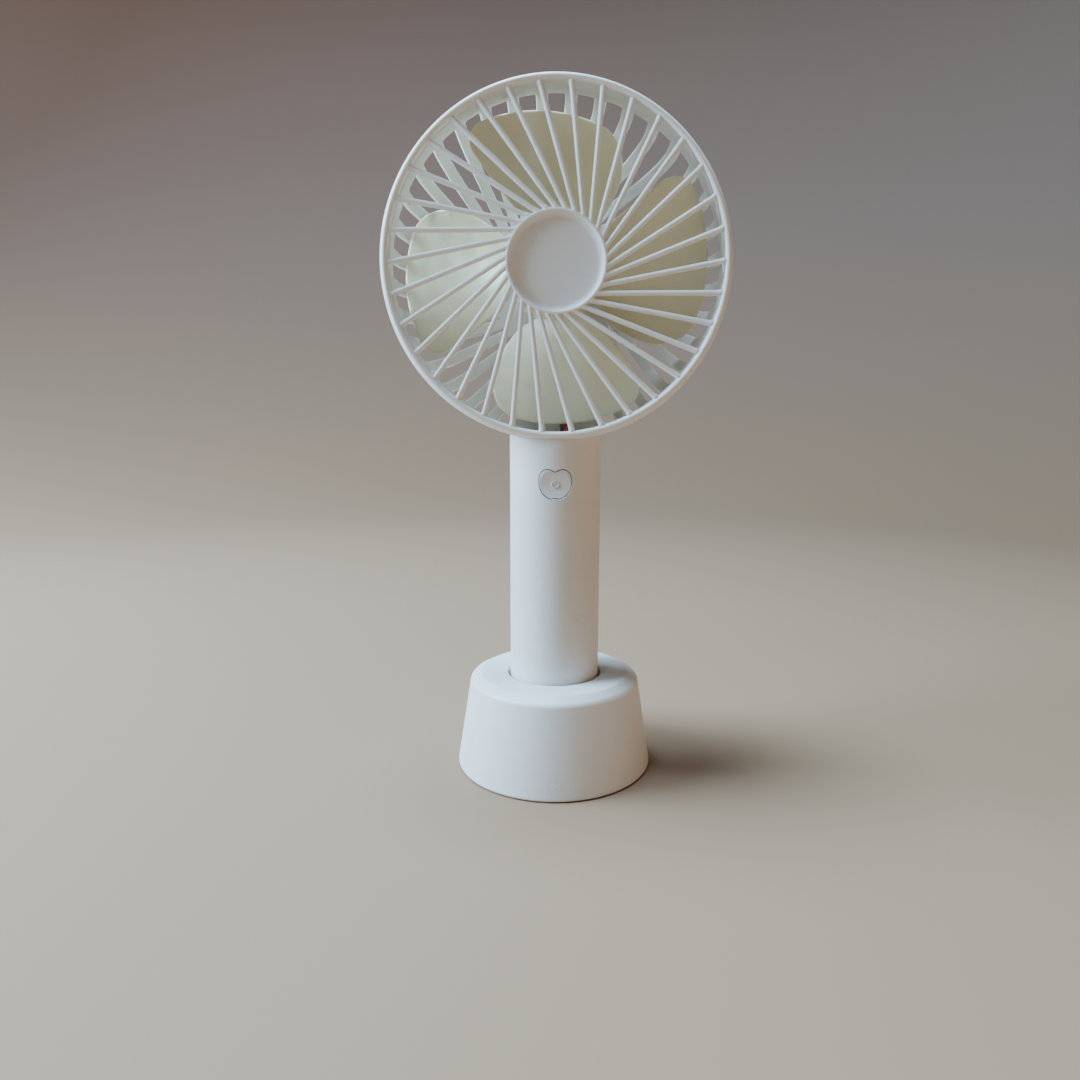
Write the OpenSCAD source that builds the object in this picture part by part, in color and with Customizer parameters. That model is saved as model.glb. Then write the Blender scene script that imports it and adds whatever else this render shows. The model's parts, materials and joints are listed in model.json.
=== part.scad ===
// Handheld electric fan standing in its desk dock.
// The origin is the centre of the dock's underside, +Z is up, and the air leaves towards -Y.

/* [Head] */
// Outer radius of the front grille ring
ring_r = 50; // [46:0.5:54]
// Height of the fan axis above the table
head_z = 153; // [150:0.5:160]
// Radius of the blank disc in the middle of the front grille
hub_r = 14.4; // [13:0.2:16]
// Number of round rods in the front grille
rod_count = 34; // [24:1:40]
// Diameter of a front rod
rod_d = 1.6; // [1.2:0.1:2]
// Distance by which the line of a front rod misses the fan axis
rod_miss = 8.6; // [6:0.2:10]
// Clockwise angle of the first rod's outer end from the top
rod_phase = 4.6; // [0:0.2:10]
// Number of flat bars in the rear grille
bar_count = 36; // [24:1:40]
// Width of a rear bar at the side wall
bar_w_outer = 3.4; // [2.6:0.1:3.6]
// Width of a rear bar at the rear hub
bar_w_inner = 3.0; // [2:0.1:3]
// Distance by which the line of a rear bar misses the fan axis
bar_miss = 8; // [6:0.2:9]

/* [Impeller] */
// Number of blades
blade_count = 4; // [3:1:5]
// Radius of the blade tips
blade_r = 45.3; // [40:0.1:45.5]
// Half of the angle that a blade spans
blade_half_angle = 38; // [28:1:38]
// Axial travel of a blade per degree, which sets its pitch
blade_lead = 0.27; // [0.15:0.01:0.27]
// Thickness of a blade
blade_t = 1.1; // [0.8:0.1:1.4]

/* [Handle] */
// Outer radius of the handle tube
handle_r = 14; // [13.6:0.1:14.4]
// Wall of the two handle shells
handle_wall = 1.7; // [1.4:0.1:1.8]
// Height of the middle of the power button
button_z = 90.4; // [89.6:0.2:91]
// Travel of the power button
button_travel = 0.5; // [0.3:0.1:0.6]

/* [Dock] */
// Height of the dock
dock_h = 29.5; // [26:0.5:34]
// Radius of the dock where it meets the table
dock_r_low = 30.8; // [30:0.2:36]
// Radius of the dock's side below its top edge
dock_r_high = 26.8; // [26.4:0.2:28.4]
// Gap between the handle and the socket's wall
socket_gap = 0.8; // [0.5:0.1:1]

/* [Hidden] */
$fn = 64;

eps = 0.01;
shell_white = "whitesmoke";
blade_cream = "cornsilk";

// Head, in its own frame: x to the right, y up, z towards the front, zero on the handle's axis
ring_tube_r = 0.9;                  // half the width of the ring's round front edge
ring_side_r = 8;                    // radius of the ring's outer side where it curves to the front
ring_side_z = 10.6;                 // plane in which that curve starts
ring_side_sweep = 30;               // how far it turns
ring_front = 15.05;                 // front of the ring
ring_back = 9.8;                    // joint between the ring and the rear housing
rod_z = 13.9;                       // plane of the rods
rod_taper = 0.2;                    // how much thinner a rod is at the hub than at the ring
drum_r = ring_r - 0.4;              // outer radius of the rear housing's side wall
drum_wall = 1.7;                    // wall of the rear housing
corner_r = 13.2;                    // outer radius of the bend from side wall to back
corner_z = -4;                      // plane in which that bend starts
corner_sweep = 80;                  // angle of the bend, after which the shallow dome begins
corner_c = drum_r - corner_r;       // radius at which the bend's centre lies
dome_reach = corner_c / cos(corner_sweep);
dome_z = corner_z + dome_reach * sin(corner_sweep);
slot_z = 3.6;                       // plane in which the rear slots start
slot_r_in = 21.5;                   // inner end of the rear slots
cup_z = -10;                        // front edge of the cup that holds the motor

// Impeller
blade_mid_z = -2.3;                 // middle plane of the blades
blade_root_r = 13;
blade_root_half = 24;               // half angle of a blade where it leaves the hub
blade_full_r = 22;                  // radius from which a blade has its full angle
front_corner = 8;                   // rounding of the corner that is nearer the front
rear_corner = [17, 24];             // rounding of the other corner, along the tip and along the edge
hub_skirt_r = 13.8;
hub_skirt_in = 12.9;

// Motor, a flat can of 24.4 mm with a 2 mm shaft
motor_r = 12.2;
motor_front = -2;
motor_back = -13.4;
motor_wall = 0.8;
shaft_r = 1;
bush_r = 2.5;
bush_bore = shaft_r + 0.03;

// Handle
handle_in = handle_r - handle_wall;
handle_low = 7;                     // lower edge of the two shells
case_screw_z = [10.4, 100.2];
screw_r = 0.95;
screw_seat_y = 8;                   // face that a case screw's head presses on
board_y = 0.6;                      // front face of the circuit board
board_t = 1;
board_z = [80.5, 97.6];
usb_z = 84.5;
led_z = 94.5;
cell_r = 9.1;
cell_z = [13, 78];

// Dock
socket_r = handle_r + socket_gap;
socket_floor = 5.2;
dock_wall = 1.9;
dock_screw_r = 20.5;                // radius of the circle of dock screws
dock_edge = 0.15;                   // lower edge of the dock's shell above the table

// Wires, as hand-laid routes through the head and the handle
wire_r = 0.6;
motor_red_route = [
    [3.5, 16.3, 144.6], [3.5, 16.6, 141], [3.4, 16.8, 138], [3.3, 16.4, 130],
    [3.3, 15.4, 122], [3.3, 14.6, 117], [3.3, 13.2, 112], [3.3, 11.1, 109],
    [3.3, 8.3, 107.1], [3.3, 4.6, 106.3], [3.3, 1, 106.1], [3.4, -1, 105],
    [4, -1.3, 103.4], [4.6, -1.2, 101], [4.6, -0.6, 98], [4.5, -0.2, 96]
];
motor_black_route = [
    [-3.5, 16.3, 144.6], [-2.6, 16.6, 142.8], [0.2, 16.7, 141.8], [1.8, 16.8, 139.8],
    [1.9, 16.8, 136.6],
    [1.9, 16.4, 130], [1.9, 15.4, 122], [1.9, 14.6, 117], [1.9, 13.2, 112],
    [1.9, 11.1, 109], [1.9, 8.3, 107.1], [1.9, 4.6, 106.2], [1.9, 1, 106],
    [2, -1, 105], [2.5, -1.3, 103.4], [3.1, -1.2, 101.5], [3, -0.6, 98], [2.8, -0.2, 96]
];
lead_red_route = [
    [3.4, 0, 78.9], [4.6, -0.3, 79.6], [5.6, -0.2, 81.2], [5.7, -0.2, 83.5]
];
lead_black_route = [
    [-6.6, 0, 12.2], [-9.2, 0, 12.4], [-10.7, 0, 14.5], [-10.7, 0, 25], [-10.7, 0, 40],
    [-10.7, 0, 55], [-10.7, 0, 70], [-10.4, 0, 76.5], [-8.6, -0.2, 79.6],
    [-6.2, -0.2, 81.4], [-5.6, -0.2, 83.5]
];

// Points on a circular arc, from angle a0 to angle a1
function arc(c, r, a0, a1, n = 8) =
    [for (i = [0:n]) let (a = a0 + (a1 - a0) * i / n) c + r * [cos(a), sin(a)]];

// Point of the head's front view at a radius and a clockwise angle from the top
function clock(r, a) = [r * sin(a), r * cos(a)];

// Point on a smooth curve through four neighbouring route points
function blend(a, b, c, d, t) =
    0.5 * (2 * b + (c - a) * t + (2 * a - 5 * b + 4 * c - d) * t * t
        + (3 * b - a - 3 * c + d) * t * t * t);

function smooth(route, steps = 4) = [
    for (i = [0:len(route) - 2], s = [0:steps - 1])
        blend(route[max(i - 1, 0)], route[i], route[i + 1],
            route[min(i + 2, len(route) - 1)], s / steps),
    route[len(route) - 1]
];

function unit(v) = v / norm(v);

// One closed tube along a route, with its rings kept in step by a fixed side direction
module wire(route, r = wire_r, sides = 8) {
    path = smooth(route);
    last = len(path) - 1;
    side = [1, 0.13, 0.07];
    rings = [
        for (i = [0:last])
            let (along = unit(path[min(i + 1, last)] - path[max(i - 1, 0)]))
            let (u = unit(cross(along, side)), v = cross(along, u))
            for (k = [0:sides - 1])
                path[i] + r * (u * cos(360 * k / sides) + v * sin(360 * k / sides))
    ];
    walls = [
        for (i = [0:last - 1], k = [0:sides - 1])
            let (a = i * sides + k, b = i * sides + (k + 1) % sides)
            each [[a, b, b + sides], [a, b + sides, a + sides]]
    ];
    polyhedron(
        points = rings,
        faces = concat(
            walls,
            [[for (k = [sides - 1:-1:0]) k]],
            [[for (k = [0:sides - 1]) last * sides + k]]
        ),
        convexity = 6
    );
}

// Puts its children in the head's frame
module in_head() {
    translate([0, 0, head_z])
        rotate([90, 0, 0])
            children();
}

// A ring or tube between two heights in the current frame
module tube(r_out, r_in, z0, z1) {
    translate([0, 0, z0])
        difference() {
            cylinder(r = r_out, h = z1 - z0);
            translate([0, 0, -eps])
                cylinder(r = r_in, h = z1 - z0 + 2 * eps);
        }
}

// A round bar along Y between two depths
module bar_y(r, y0, y1, x, z) {
    translate([x, y0, z])
        rotate([-90, 0, 0])
            cylinder(r = r, h = y1 - y0);
}

// A box given by two opposite corners
module box(low, high) {
    translate(low)
        cube(high - low);
}

// ---- Front grille -----------------------------------------------------------------------

module grille_ring_section() {
    side_r = ring_side_r - ring_tube_r;
    tube_c = [
        ring_r - ring_side_r + side_r * cos(ring_side_sweep),
        ring_side_z + side_r * sin(ring_side_sweep)
    ];
    wall_r = tube_c.x - ring_tube_r;
    collar_r = drum_r - drum_wall - 0.1;
    polygon(concat(
        [[ring_r, ring_back]],
        arc([ring_r - ring_side_r, ring_side_z], ring_side_r, 0, ring_side_sweep, 6),
        arc(tube_c, ring_tube_r, ring_side_sweep, 180, 10),
        [
            [wall_r + 0.2, ring_back + 2.3], [wall_r, ring_back + 2.1],
            [wall_r, ring_back - 2.6], [collar_r, ring_back - 2.6], [collar_r, ring_back]
        ]
    ));
}

module grille_hub_section() {
    rim = 0.45;
    floor_z = 13.2;
    dish_edge_r = 2.1;
    polygon(concat(
        [[0, 11.9], [hub_r - 1.5, 11.9], [hub_r - 0.3, 12.3]],
        arc([hub_r - rim, ring_front - 0.25 - rim], rim, 0, 100),
        arc([hub_r - 2.8, floor_z + dish_edge_r], dish_edge_r, -14, -90, 6),
        [[0, floor_z]]
    ));
}

// A straight rod from the ring to the rim of the hub disc
module grille_rod(outer_angle) {
    r_out = ring_r - 2.2;
    r_in = hub_r - 0.6;
    turn = asin(rod_miss / r_in) - asin(rod_miss / r_out);
    a = clock(r_out, outer_angle);
    b = clock(r_in, outer_angle + turn);
    run = b - a;
    translate([a.x, a.y, rod_z])
        rotate([0, 0, atan2(run.y, run.x)])
            rotate([0, 90, 0])
                cylinder(d1 = rod_d, d2 = rod_d - rod_taper, h = norm(run));
}

module front_grille() {
    color(shell_white)
        in_head() {
            rotate_extrude()
                grille_ring_section();
            rotate_extrude()
                grille_hub_section();
            for (i = [0:rod_count - 1])
                grille_rod(rod_phase + i * 360 / rod_count);
        }
}

// ---- Rear housing: side wall, slotted dome, motor cup and the rear half of the handle -----

module drum_section() {
    inner_r = corner_r - drum_wall;
    dome_out = dome_reach + corner_r;
    dome_in = dome_reach + inner_r;
    edge = 90 - corner_sweep;
    polygon(concat(
        [[drum_r, ring_back - 0.1]],
        arc([corner_c, corner_z], corner_r, 0, -corner_sweep, 16),
        arc([0, dome_z], dome_out, -90 + edge, -90, 10),
        arc([0, dome_z], dome_in, -90, -90 + edge, 10),
        arc([corner_c, corner_z], inner_r, -corner_sweep, 0, 16),
        [[drum_r - drum_wall, ring_back - 0.1]]
    ));
}

// Clockwise angle at radius r on one edge of the bar that ends at outer_angle
function bar_edge(outer_angle, r, half_width) =
    outer_angle + asin(bar_miss / drum_r) - asin((bar_miss + half_width) / r);

// A slot between two bars; over the handle it stays in the back, so that the side wall is whole
module rear_slot(index) {
    pitch = 360 / bar_count;
    before = (index - 0.5) * pitch;
    after = (index + 0.5) * pitch;
    over_handle = abs(index * pitch - 180) < 15;
    r_out = over_handle ? corner_c + 4.6 : drum_r + 6;
    translate([0, 0, slot_z - 40])
        linear_extrude(height = 40)
            polygon([
                clock(r_out, bar_edge(before, r_out, -bar_w_outer / 2)),
                clock(r_out, bar_edge(after, r_out, bar_w_outer / 2)),
                clock(slot_r_in, bar_edge(after, slot_r_in, bar_w_inner / 2)),
                clock(slot_r_in, bar_edge(before, slot_r_in, -bar_w_inner / 2))
            ]);
}

// The outer form of the head, used to trim the handle shells to it
module head_form(grow = 0) {
    gap = 0.1;
    dome_out = dome_reach + corner_r + grow;
    in_head() {
        rotate_extrude()
            polygon(concat(
                [[0, ring_back], [ring_r + gap, ring_back]],
                arc([ring_r - ring_side_r, ring_side_z], ring_side_r + gap, 0, ring_side_sweep, 6),
                [[ring_r - 1, ring_front + 4], [0, ring_front + 4]]
            ));
        rotate_extrude()
            polygon(concat(
                [[0, ring_back + eps], [drum_r + grow, ring_back + eps]],
                arc([corner_c, corner_z], corner_r + grow, 0, -corner_sweep, 16),
                arc([0, dome_z], dome_out, -corner_sweep, -90, 10)
            ));
    }
}

module handle_tube(top) {
    difference() {
        cylinder(r = handle_r, h = top);
        translate([0, 0, -eps])
            cylinder(r = handle_in, h = top + 1);
        box([-20, -20, -1], [20, 20, handle_low]);
    }
}

module handle_half(front) {
    y0 = front ? -20 : 0;
    difference() {
        handle_tube(head_z - 30);
        box([-20, -20 - y0, -1], [20, -y0, head_z]);
        head_form(front ? 0 : -0.8);
    }
}

// The opening round the charging port
module port_cut() {
    box([-4.2, 9, usb_z - 1.75], [4.2, 16, usb_z + 1.75]);
}

// A shallow round groove that frames the plain middle of the back
module back_groove() {
    rotate_extrude()
        translate([hub_r + 0.4, dome_z - dome_reach - corner_r + 0.4])
            circle(r = 0.6);
}

module rear_housing() {
    color(shell_white) {
        difference() {
            union() {
                in_head()
                    difference() {
                        rotate_extrude()
                            drum_section();
                        for (i = [0:bar_count - 1])
                            rear_slot(i);
                        back_groove();
                    }
                handle_half(front = false);
                in_head()
                    tube(motor_r + 1.5, motor_r + 0.08, -18.6, cup_z);
                for (z = case_screw_z)
                    bar_y(2.6, 4, handle_r - 1.2, 0, z);
                for (x = [-8, 8])
                    box([x - 0.6, board_y + board_t, 83], [x + 0.6, 9.8, 96]);
            }
            // way for the motor wires: out of the cup and into the handle
            in_head()
                box([0.8, -15, -17.8], [4.8, -11.5, -14.5]);
            box([0.8, -2.2, head_z - drum_r - 1], [4.8, 2.2, head_z - drum_r + 5]);
            for (z = case_screw_z) {
                bar_y(screw_r + 0.15, 3, 20, 0, z);
                bar_y(2.1, screw_seat_y, 20, 0, z);
            }
            port_cut();
            bar_y(1.08, 8, 20, 0, led_z);
        }
    }
}

// ---- Front half of the handle -------------------------------------------------------------

// The button's two-lobed outline, grown by a margin
module button_outline(grow = 0) {
    lobes = [[2.17, 1.8, 2.5], [1.33, 0.37, 3.42], [0.74, -0.29, 3.74], [1.16, -2.58, 1.61]];
    for (side = [-1, 1])
        for (lobe = lobes)
            translate([lobe.x * side, lobe.y])
                circle(r = lobe.z + grow);
}

// The outline carried along Y between two depths, at the button's height
module button_prism(grow, y0, y1) {
    translate([0, y1, button_z])
        rotate([90, 0, 0])
            linear_extrude(height = y1 - y0)
                button_outline(grow);
}

module front_shell() {
    color(shell_white)
        difference() {
            union() {
                handle_half(front = true);
                for (z = case_screw_z)
                    bar_y(2, -handle_r + 1, 4, 0, z);
                // lap lip behind the seam
                intersection() {
                    tube(handle_in - 0.05, handle_in - 0.8, 14, 79);
                    union() {
                        box([-13, -1.5, 14], [-10, 1.3, 79]);
                        box([10, -1.5, 14], [13, 1.3, 79]);
                    }
                }
                intersection() {
                    tube(handle_in + 0.1, handle_in - 1, 14, 79);
                    union() {
                        box([-13, -2.5, 14], [-10, -1.4, 79]);
                        box([10, -2.5, 14], [13, -1.4, 79]);
                    }
                }
                for (x = [-8, 8])
                    box([x - 0.6, -9.8, 83], [x + 0.6, board_y, 96]);
            }
            button_prism(0.18, -20, -9.9);
            for (z = case_screw_z)
                bar_y(screw_r + 0.02, -6, 5, 0, z);
        }
}

module end_cap() {
    color(shell_white) {
        rotate_extrude()
            polygon(concat(
                [[0, 5.5], [handle_r - 0.8, 5.5]],
                arc([handle_r - 0.8, 6.3], 0.8, -90, 0),
                [[handle_r, handle_low], [0, handle_low]]
            ));
        tube(handle_in - 0.1, handle_in - 1.4, handle_low - eps, 8.2);
    }
}

// Pan-head tapping screws that close the handle
module case_screws() {
    color("silver")
        for (z = case_screw_z)
            difference() {
                union() {
                    bar_y(screw_r, -3.5, screw_seat_y + 0.2, 0, z);
                    bar_y(1.9, screw_seat_y, screw_seat_y + 1.3, 0, z);
                }
                cross_recess(screw_seat_y + 0.5, z);
            }
}

module cross_recess(y, z) {
    for (turn = [0, 90])
        translate([0, y, z])
            rotate([0, turn, 0])
                translate([-1.1, 0, -0.22])
                    cube([2.2, 2, 0.44]);
}

// ---- Motor ----------------------------------------------------------------------------------

module motor_can() {
    color("silver")
        in_head() {
            tube(motor_r, motor_r - motor_wall, motor_back + 0.2, motor_front);
            tube(motor_r, bush_r, motor_front - motor_wall, motor_front);
            tube(3.2, bush_r, motor_front - eps, motor_front + 0.9);
        }
}

module motor_end_cap() {
    color("ivory")
        in_head() {
            tube(motor_r - motor_wall - 0.02, bush_r, motor_back, motor_back + 1.6);
            tube(3.6, bush_r, motor_back - 1.5, motor_back + eps);
        }
}

module motor_magnets() {
    inner = motor_r - motor_wall - 1.7;
    color("dimgray")
        in_head()
            translate([0, 0, -10.6])
                linear_extrude(height = 7)
                    difference() {
                        circle(r = motor_r - motor_wall - 0.02);
                        circle(r = inner);
                        polygon([[0, 0], [-20, 9], [-20, -9]]);
                        polygon([[0, 0], [20, -9], [20, 9]]);
                    }
}

module bush(z0, z1) {
    color("peru")
        in_head()
            tube(bush_r - 0.01, bush_bore, z0, z1);
}

module front_bush() {
    bush(-3.4, -0.9);
}

module rear_bush() {
    bush(motor_back - 1.5, motor_back + 0.9);
}

module motor_brushes() {
    color("goldenrod")
        in_head()
            for (side = [-1, 1])
                translate([side * 2.45 - 0.12, -1.2, motor_back + 1.62])
                    cube([0.24, 6, 1.5]);
}

module motor_terminals() {
    color("khaki")
        in_head()
            for (x = [-3.5, 3.5])
                box([x - 1, -8.2, -16.6], [x + 1, -7.8, motor_back - 0.02]);
}

module motor_wire_red() {
    color("firebrick")
        wire(motor_red_route);
}

module motor_wire_black() {
    color("#202020")
        wire(motor_black_route);
}

// ---- Rotor ----------------------------------------------------------------------------------

// How far a rounded corner pulls the blade's edge in, as an angle, at radius r
function corner_pull(r, along_tip, along_edge) =
    let (over = max(0, (r - blade_r + along_edge) / along_edge))
    along_tip * (1 - sqrt(max(0, 1 - over * over))) / blade_r * 180 / PI;

// Half angle before the corners: it opens from the hub to the full blade
function half_angle(r) =
    let (t = min(1, (r - blade_root_r) / (blade_full_r - blade_root_r)))
    blade_root_half + (blade_half_angle - blade_root_half) * t * (2 - t);

// Clockwise angle of a blade's edges at radius r, from the blade's middle
function front_edge(r) = -half_angle(r) + corner_pull(r, front_corner, front_corner);
function rear_edge(r) = half_angle(r) - corner_pull(r, rear_corner.x, rear_corner.y);

// A helical blade with both corners rounded
module blade(middle, rows = 14, columns = 10) {
    function row_r(j) =
        blade_root_r + (blade_r - blade_root_r) * sin(90 * j / rows);
    function blade_point(j, i, lift) =
        let (r = row_r(j))
        let (a = front_edge(r) + (rear_edge(r) - front_edge(r)) * i / columns)
        let (p = clock(r, middle + a))
        [p.x, p.y, blade_mid_z - blade_lead * a + lift];
    n = columns + 1;
    count = n * (rows + 1);
    points = concat(
        [for (j = [0:rows], i = [0:columns]) blade_point(j, i, blade_t / 2)],
        [for (j = [0:rows], i = [0:columns]) blade_point(j, i, -blade_t / 2)]
    );
    front = [
        for (j = [0:rows - 1], i = [0:columns - 1])
            let (a = j * n + i)
            each [[a, a + n, a + n + 1], [a, a + n + 1, a + 1]]
    ];
    back = [for (f = front) [f[0] + count, f[2] + count, f[1] + count]];
    rim = concat(
        [for (i = [0:columns]) i],
        [for (j = [1:rows]) j * n + columns],
        [for (i = [columns - 1:-1:0]) rows * n + i],
        [for (j = [rows - 1:-1:1]) j * n]
    );
    edges = [
        for (k = [0:len(rim) - 1])
            let (a = rim[k], b = rim[(k + 1) % len(rim)])
            each [[a, b, b + count], [a, b + count, a + count]]
    ];
    polyhedron(points = points, faces = concat(front, back, edges), convexity = 4);
}

module impeller() {
    color(blade_cream)
        in_head()
            difference() {
                union() {
                    tube(hub_skirt_r, hub_skirt_in, -9.3, 6.4);
                    translate([0, 0, 5])
                        cylinder(r = hub_skirt_r, h = 1.5);
                    translate([0, 0, -0.2])
                        cylinder(r = 3.2, h = 6);
                    for (i = [0:blade_count - 1])
                        blade(i * 360 / blade_count);
                }
                translate([0, 0, -1])
                    cylinder(r = shaft_r, h = 5.4);
            }
}

module motor_shaft() {
    color("lightsteelblue")
        in_head()
            translate([0, 0, -15.2])
                cylinder(r = shaft_r, h = 19.5);
}

module armature_core() {
    color("slategray")
        in_head()
            translate([0, 0, -9.4])
                linear_extrude(height = 4.8)
                    difference() {
                        union() {
                            circle(r = 2.8);
                            for (i = [0:2])
                                rotate(120 * i) {
                                    translate([-1.1, 0])
                                        square([2.2, 8.6]);
                                    pole_shoe();
                                }
                        }
                        circle(r = shaft_r);
                    }
}

module pole_shoe() {
    intersection() {
        difference() {
            circle(r = 9.2);
            circle(r = 8);
        }
        polygon([[0, 0], [-16, 12], [16, 12]]);
    }
}

module armature_windings() {
    color("chocolate")
        in_head()
            for (i = [0:2])
                rotate(120 * i)
                    difference() {
                        box([-2.2, 3.6, -10.1], [2.2, 7.5, -3.9]);
                        box([-1.12, 3, -9.42], [1.12, 8, -4.58]);
                    }
}

module commutator() {
    color("darkgoldenrod")
        in_head()
            difference() {
                tube(2.2, shaft_r, -12, -10.2);
                for (i = [0:2])
                    rotate(60 + 120 * i)
                        box([-0.15, 1.6, -13], [0.15, 3, -9]);
            }
}

// ---- Electronics ------------------------------------------------------------------------------

module circuit_board() {
    color("darkgreen")
        difference() {
            box([-9.4, board_y + 0.02, board_z[0]], [9.4, board_y + board_t - 0.02, board_z[1]]);
            for (x = [-8.6, 8.6])
                bar_y(0.5, 0, 3, x, board_z[1] - 0.9);
        }
}

module controller_chip() {
    color("#2a2a2c") {
        box([-2.4, board_y - 1.4, 81.6], [2.4, board_y, 85.4]);
        for (x = [-1.8, -0.6, 0.6, 1.8], z = [80.9, 85.4])
            box([x - 0.2, board_y - 0.3, z], [x + 0.2, board_y, z + 0.7]);
    }
}

module board_components() {
    color("tan") {
        for (x = [-6.4, -4.6, 6.6], z = [87, 89.6])
            box([x - 0.5, board_y - 0.8, z], [x + 0.5, board_y, z + 1.8]);
        for (x = [-5.4, 5.2])
            box([x - 1.6, board_y + board_t, 88.6], [x + 1.6, board_y + board_t + 1.8, 92]);
    }
}

module tactile_switch() {
    color("#38383a")
        difference() {
            box([-3, -2.9, button_z - 3], [3, board_y, button_z + 3]);
            bar_y(1.85, -4, -1, 0, button_z);
        }
}

module charge_led() {
    color("tomato")
        box([-0.8, board_y + board_t, led_z - 0.5], [0.8, board_y + board_t + 0.8, led_z + 0.5]);
}

module light_pipe() {
    color("azure", 0.6)
        difference() {
            union() {
                bar_y(1, board_y + board_t + 1.2, handle_r - 0.1, 0, led_z);
                bar_y(1.9, 10.2, 11.6, 0, led_z);
            }
            bar_y(0.6, 2, board_y + board_t + 1.7, 0, led_z);
        }
}

// Cross-section of a micro charging port, seen along Y
module port_section(grow = 0) {
    polygon([
        [-3.75 - grow, 1.35 + grow], [3.75 + grow, 1.35 + grow],
        [3.75 + grow, -0.3 - 0.4 * grow], [2.7 + 0.4 * grow, -1.35 - grow],
        [-2.7 - 0.4 * grow, -1.35 - grow], [-3.75 - grow, -0.3 - 0.4 * grow]
    ]);
}

module port_prism(grow, y0, y1) {
    translate([0, y1, usb_z])
        rotate([90, 0, 0])
            linear_extrude(height = y1 - y0)
                port_section(grow);
}

module usb_shell() {
    color("silver")
        difference() {
            port_prism(0, board_y + board_t, handle_r - 0.9);
            port_prism(-0.28, board_y + board_t + 1, handle_r);
        }
}

module usb_tongue() {
    color("#1c1c1e")
        box([-1.9, board_y + board_t + 1, usb_z + 0.1], [1.9, handle_r - 1.8, usb_z + 0.7]);
}

// ---- Battery ------------------------------------------------------------------------------------

module battery_cell() {
    color("lightgray") {
        translate([0, 0, cell_z[0]])
            cylinder(r = cell_r, h = cell_z[1] - cell_z[0] - 1.4);
        translate([0, 0, cell_z[1] - 1.5])
            cylinder(r = 3, h = 1.5);
    }
}

module battery_wrap() {
    color("royalblue") {
        tube(cell_r + 0.12, cell_r, cell_z[0], cell_z[1] - 1.4);
        tube(cell_r + 0.12, cell_r - 1.6, cell_z[1] - 1.4, cell_z[1] - 1.25);
    }
}

module battery_tabs() {
    color("gainsboro") {
        box([-6.5, -2, cell_z[0] - 0.15], [3, 2, cell_z[0]]);
        box([-2.5, -2, cell_z[1]], [3.6, 2, cell_z[1] + 0.15]);
    }
}

module cell_pads() {
    color("#3c3c3e")
        for (y = [-11.9, cell_r + 0.2])
            box([-2.5, y, 24], [2.5, y + 2.6, 68]);
}

module battery_lead_red() {
    color("firebrick")
        wire(lead_red_route);
}

module battery_lead_black() {
    color("#202020")
        wire(lead_black_route);
}

// ---- Power button -------------------------------------------------------------------------------

module power_symbol() {
    difference() {
        circle(r = 1.15);
        circle(r = 0.85);
        translate([-0.45, 0])
            square([0.9, 2]);
    }
    translate([-0.15, 0.1])
        square([0.3, 1.2]);
}

module power_button() {
    dish_r = 22;
    dish_depth = 0.7;
    face_y = -handle_r + 0.05;
    color(shell_white) {
        difference() {
            union() {
                intersection() {
                    button_prism(0, -handle_r, -10);
                    translate([0, 0, button_z - 8])
                        cylinder(r = handle_r - 0.05, h = 16);
                }
                // lip behind the shell that keeps the button in
                intersection() {
                    button_prism(0.9, -handle_r, -10);
                    translate([0, 0, button_z - 8])
                        cylinder(r = handle_in - 0.3, h = 16);
                }
                bar_y(2, -10.2, -4.4, 0, button_z);
            }
            translate([0, face_y - dish_r + dish_depth, button_z])
                sphere(r = dish_r);
        }
        translate([0, face_y + dish_depth + 0.3, button_z])
            rotate([90, 0, 0])
                linear_extrude(height = 0.46)
                    power_symbol();
    }
}

module switch_plunger() {
    color("#e8e8e8")
        bar_y(1.7, -4.4, -1.7, 0, button_z);
}

// ---- Dock ---------------------------------------------------------------------------------------

module base_section() {
    lip = 0.8;
    polygon(concat(
        [[dock_r_low - 1.6, dock_edge]],
        arc([dock_r_low - 0.8, dock_edge + 0.8], 0.8, -90, 0),
        arc([dock_r_high - 2, dock_h - 3], 2, 8, 55),
        arc([dock_r_high - 3.7, dock_h - 1.2], 1.2, 60, 90, 4),
        arc([socket_r + lip, dock_h - lip], lip, 90, 180),
        [
            [socket_r, socket_floor], [0, socket_floor],
            [0, socket_floor - dock_wall], [socket_r + 1.7, socket_floor - dock_wall],
            [socket_r + 1.7, dock_h - dock_wall], [dock_r_high - 3.5, dock_h - dock_wall],
            [dock_r_high - dock_wall - 0.2, dock_h - 3.6],
            [dock_r_low - dock_wall, dock_edge]
        ]
    ));
}

module on_dock_screws() {
    for (i = [0:2])
        rotate([0, 0, 30 + 120 * i])
            translate([dock_screw_r, 0, 0])
                children();
}

module base_shell() {
    color(shell_white)
        difference() {
            union() {
                rotate_extrude()
                    base_section();
                on_dock_screws()
                    translate([0, 0, 2.8])
                        cylinder(r = 2.4, h = dock_h - 3.8);
            }
            on_dock_screws()
                translate([0, 0, 2])
                    cylinder(r = screw_r + 0.02, h = 13);
        }
}

module base_plate() {
    color("gainsboro")
        difference() {
            translate([0, 0, 0.9])
                cylinder(r = dock_r_low - 2.5, h = 1.8);
            tube(dock_r_low - 2.8, dock_r_low - 6.6, 0.5, 1.5);
            on_dock_screws() {
                cylinder(r = screw_r + 0.2, h = 4);
                cylinder(r = 2.3, h = 1.9);
            }
        }
}

module foot_ring() {
    color("#4a4a4c")
        tube(dock_r_low - 3, dock_r_low - 6.4, 0, 1.48);
}

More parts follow.
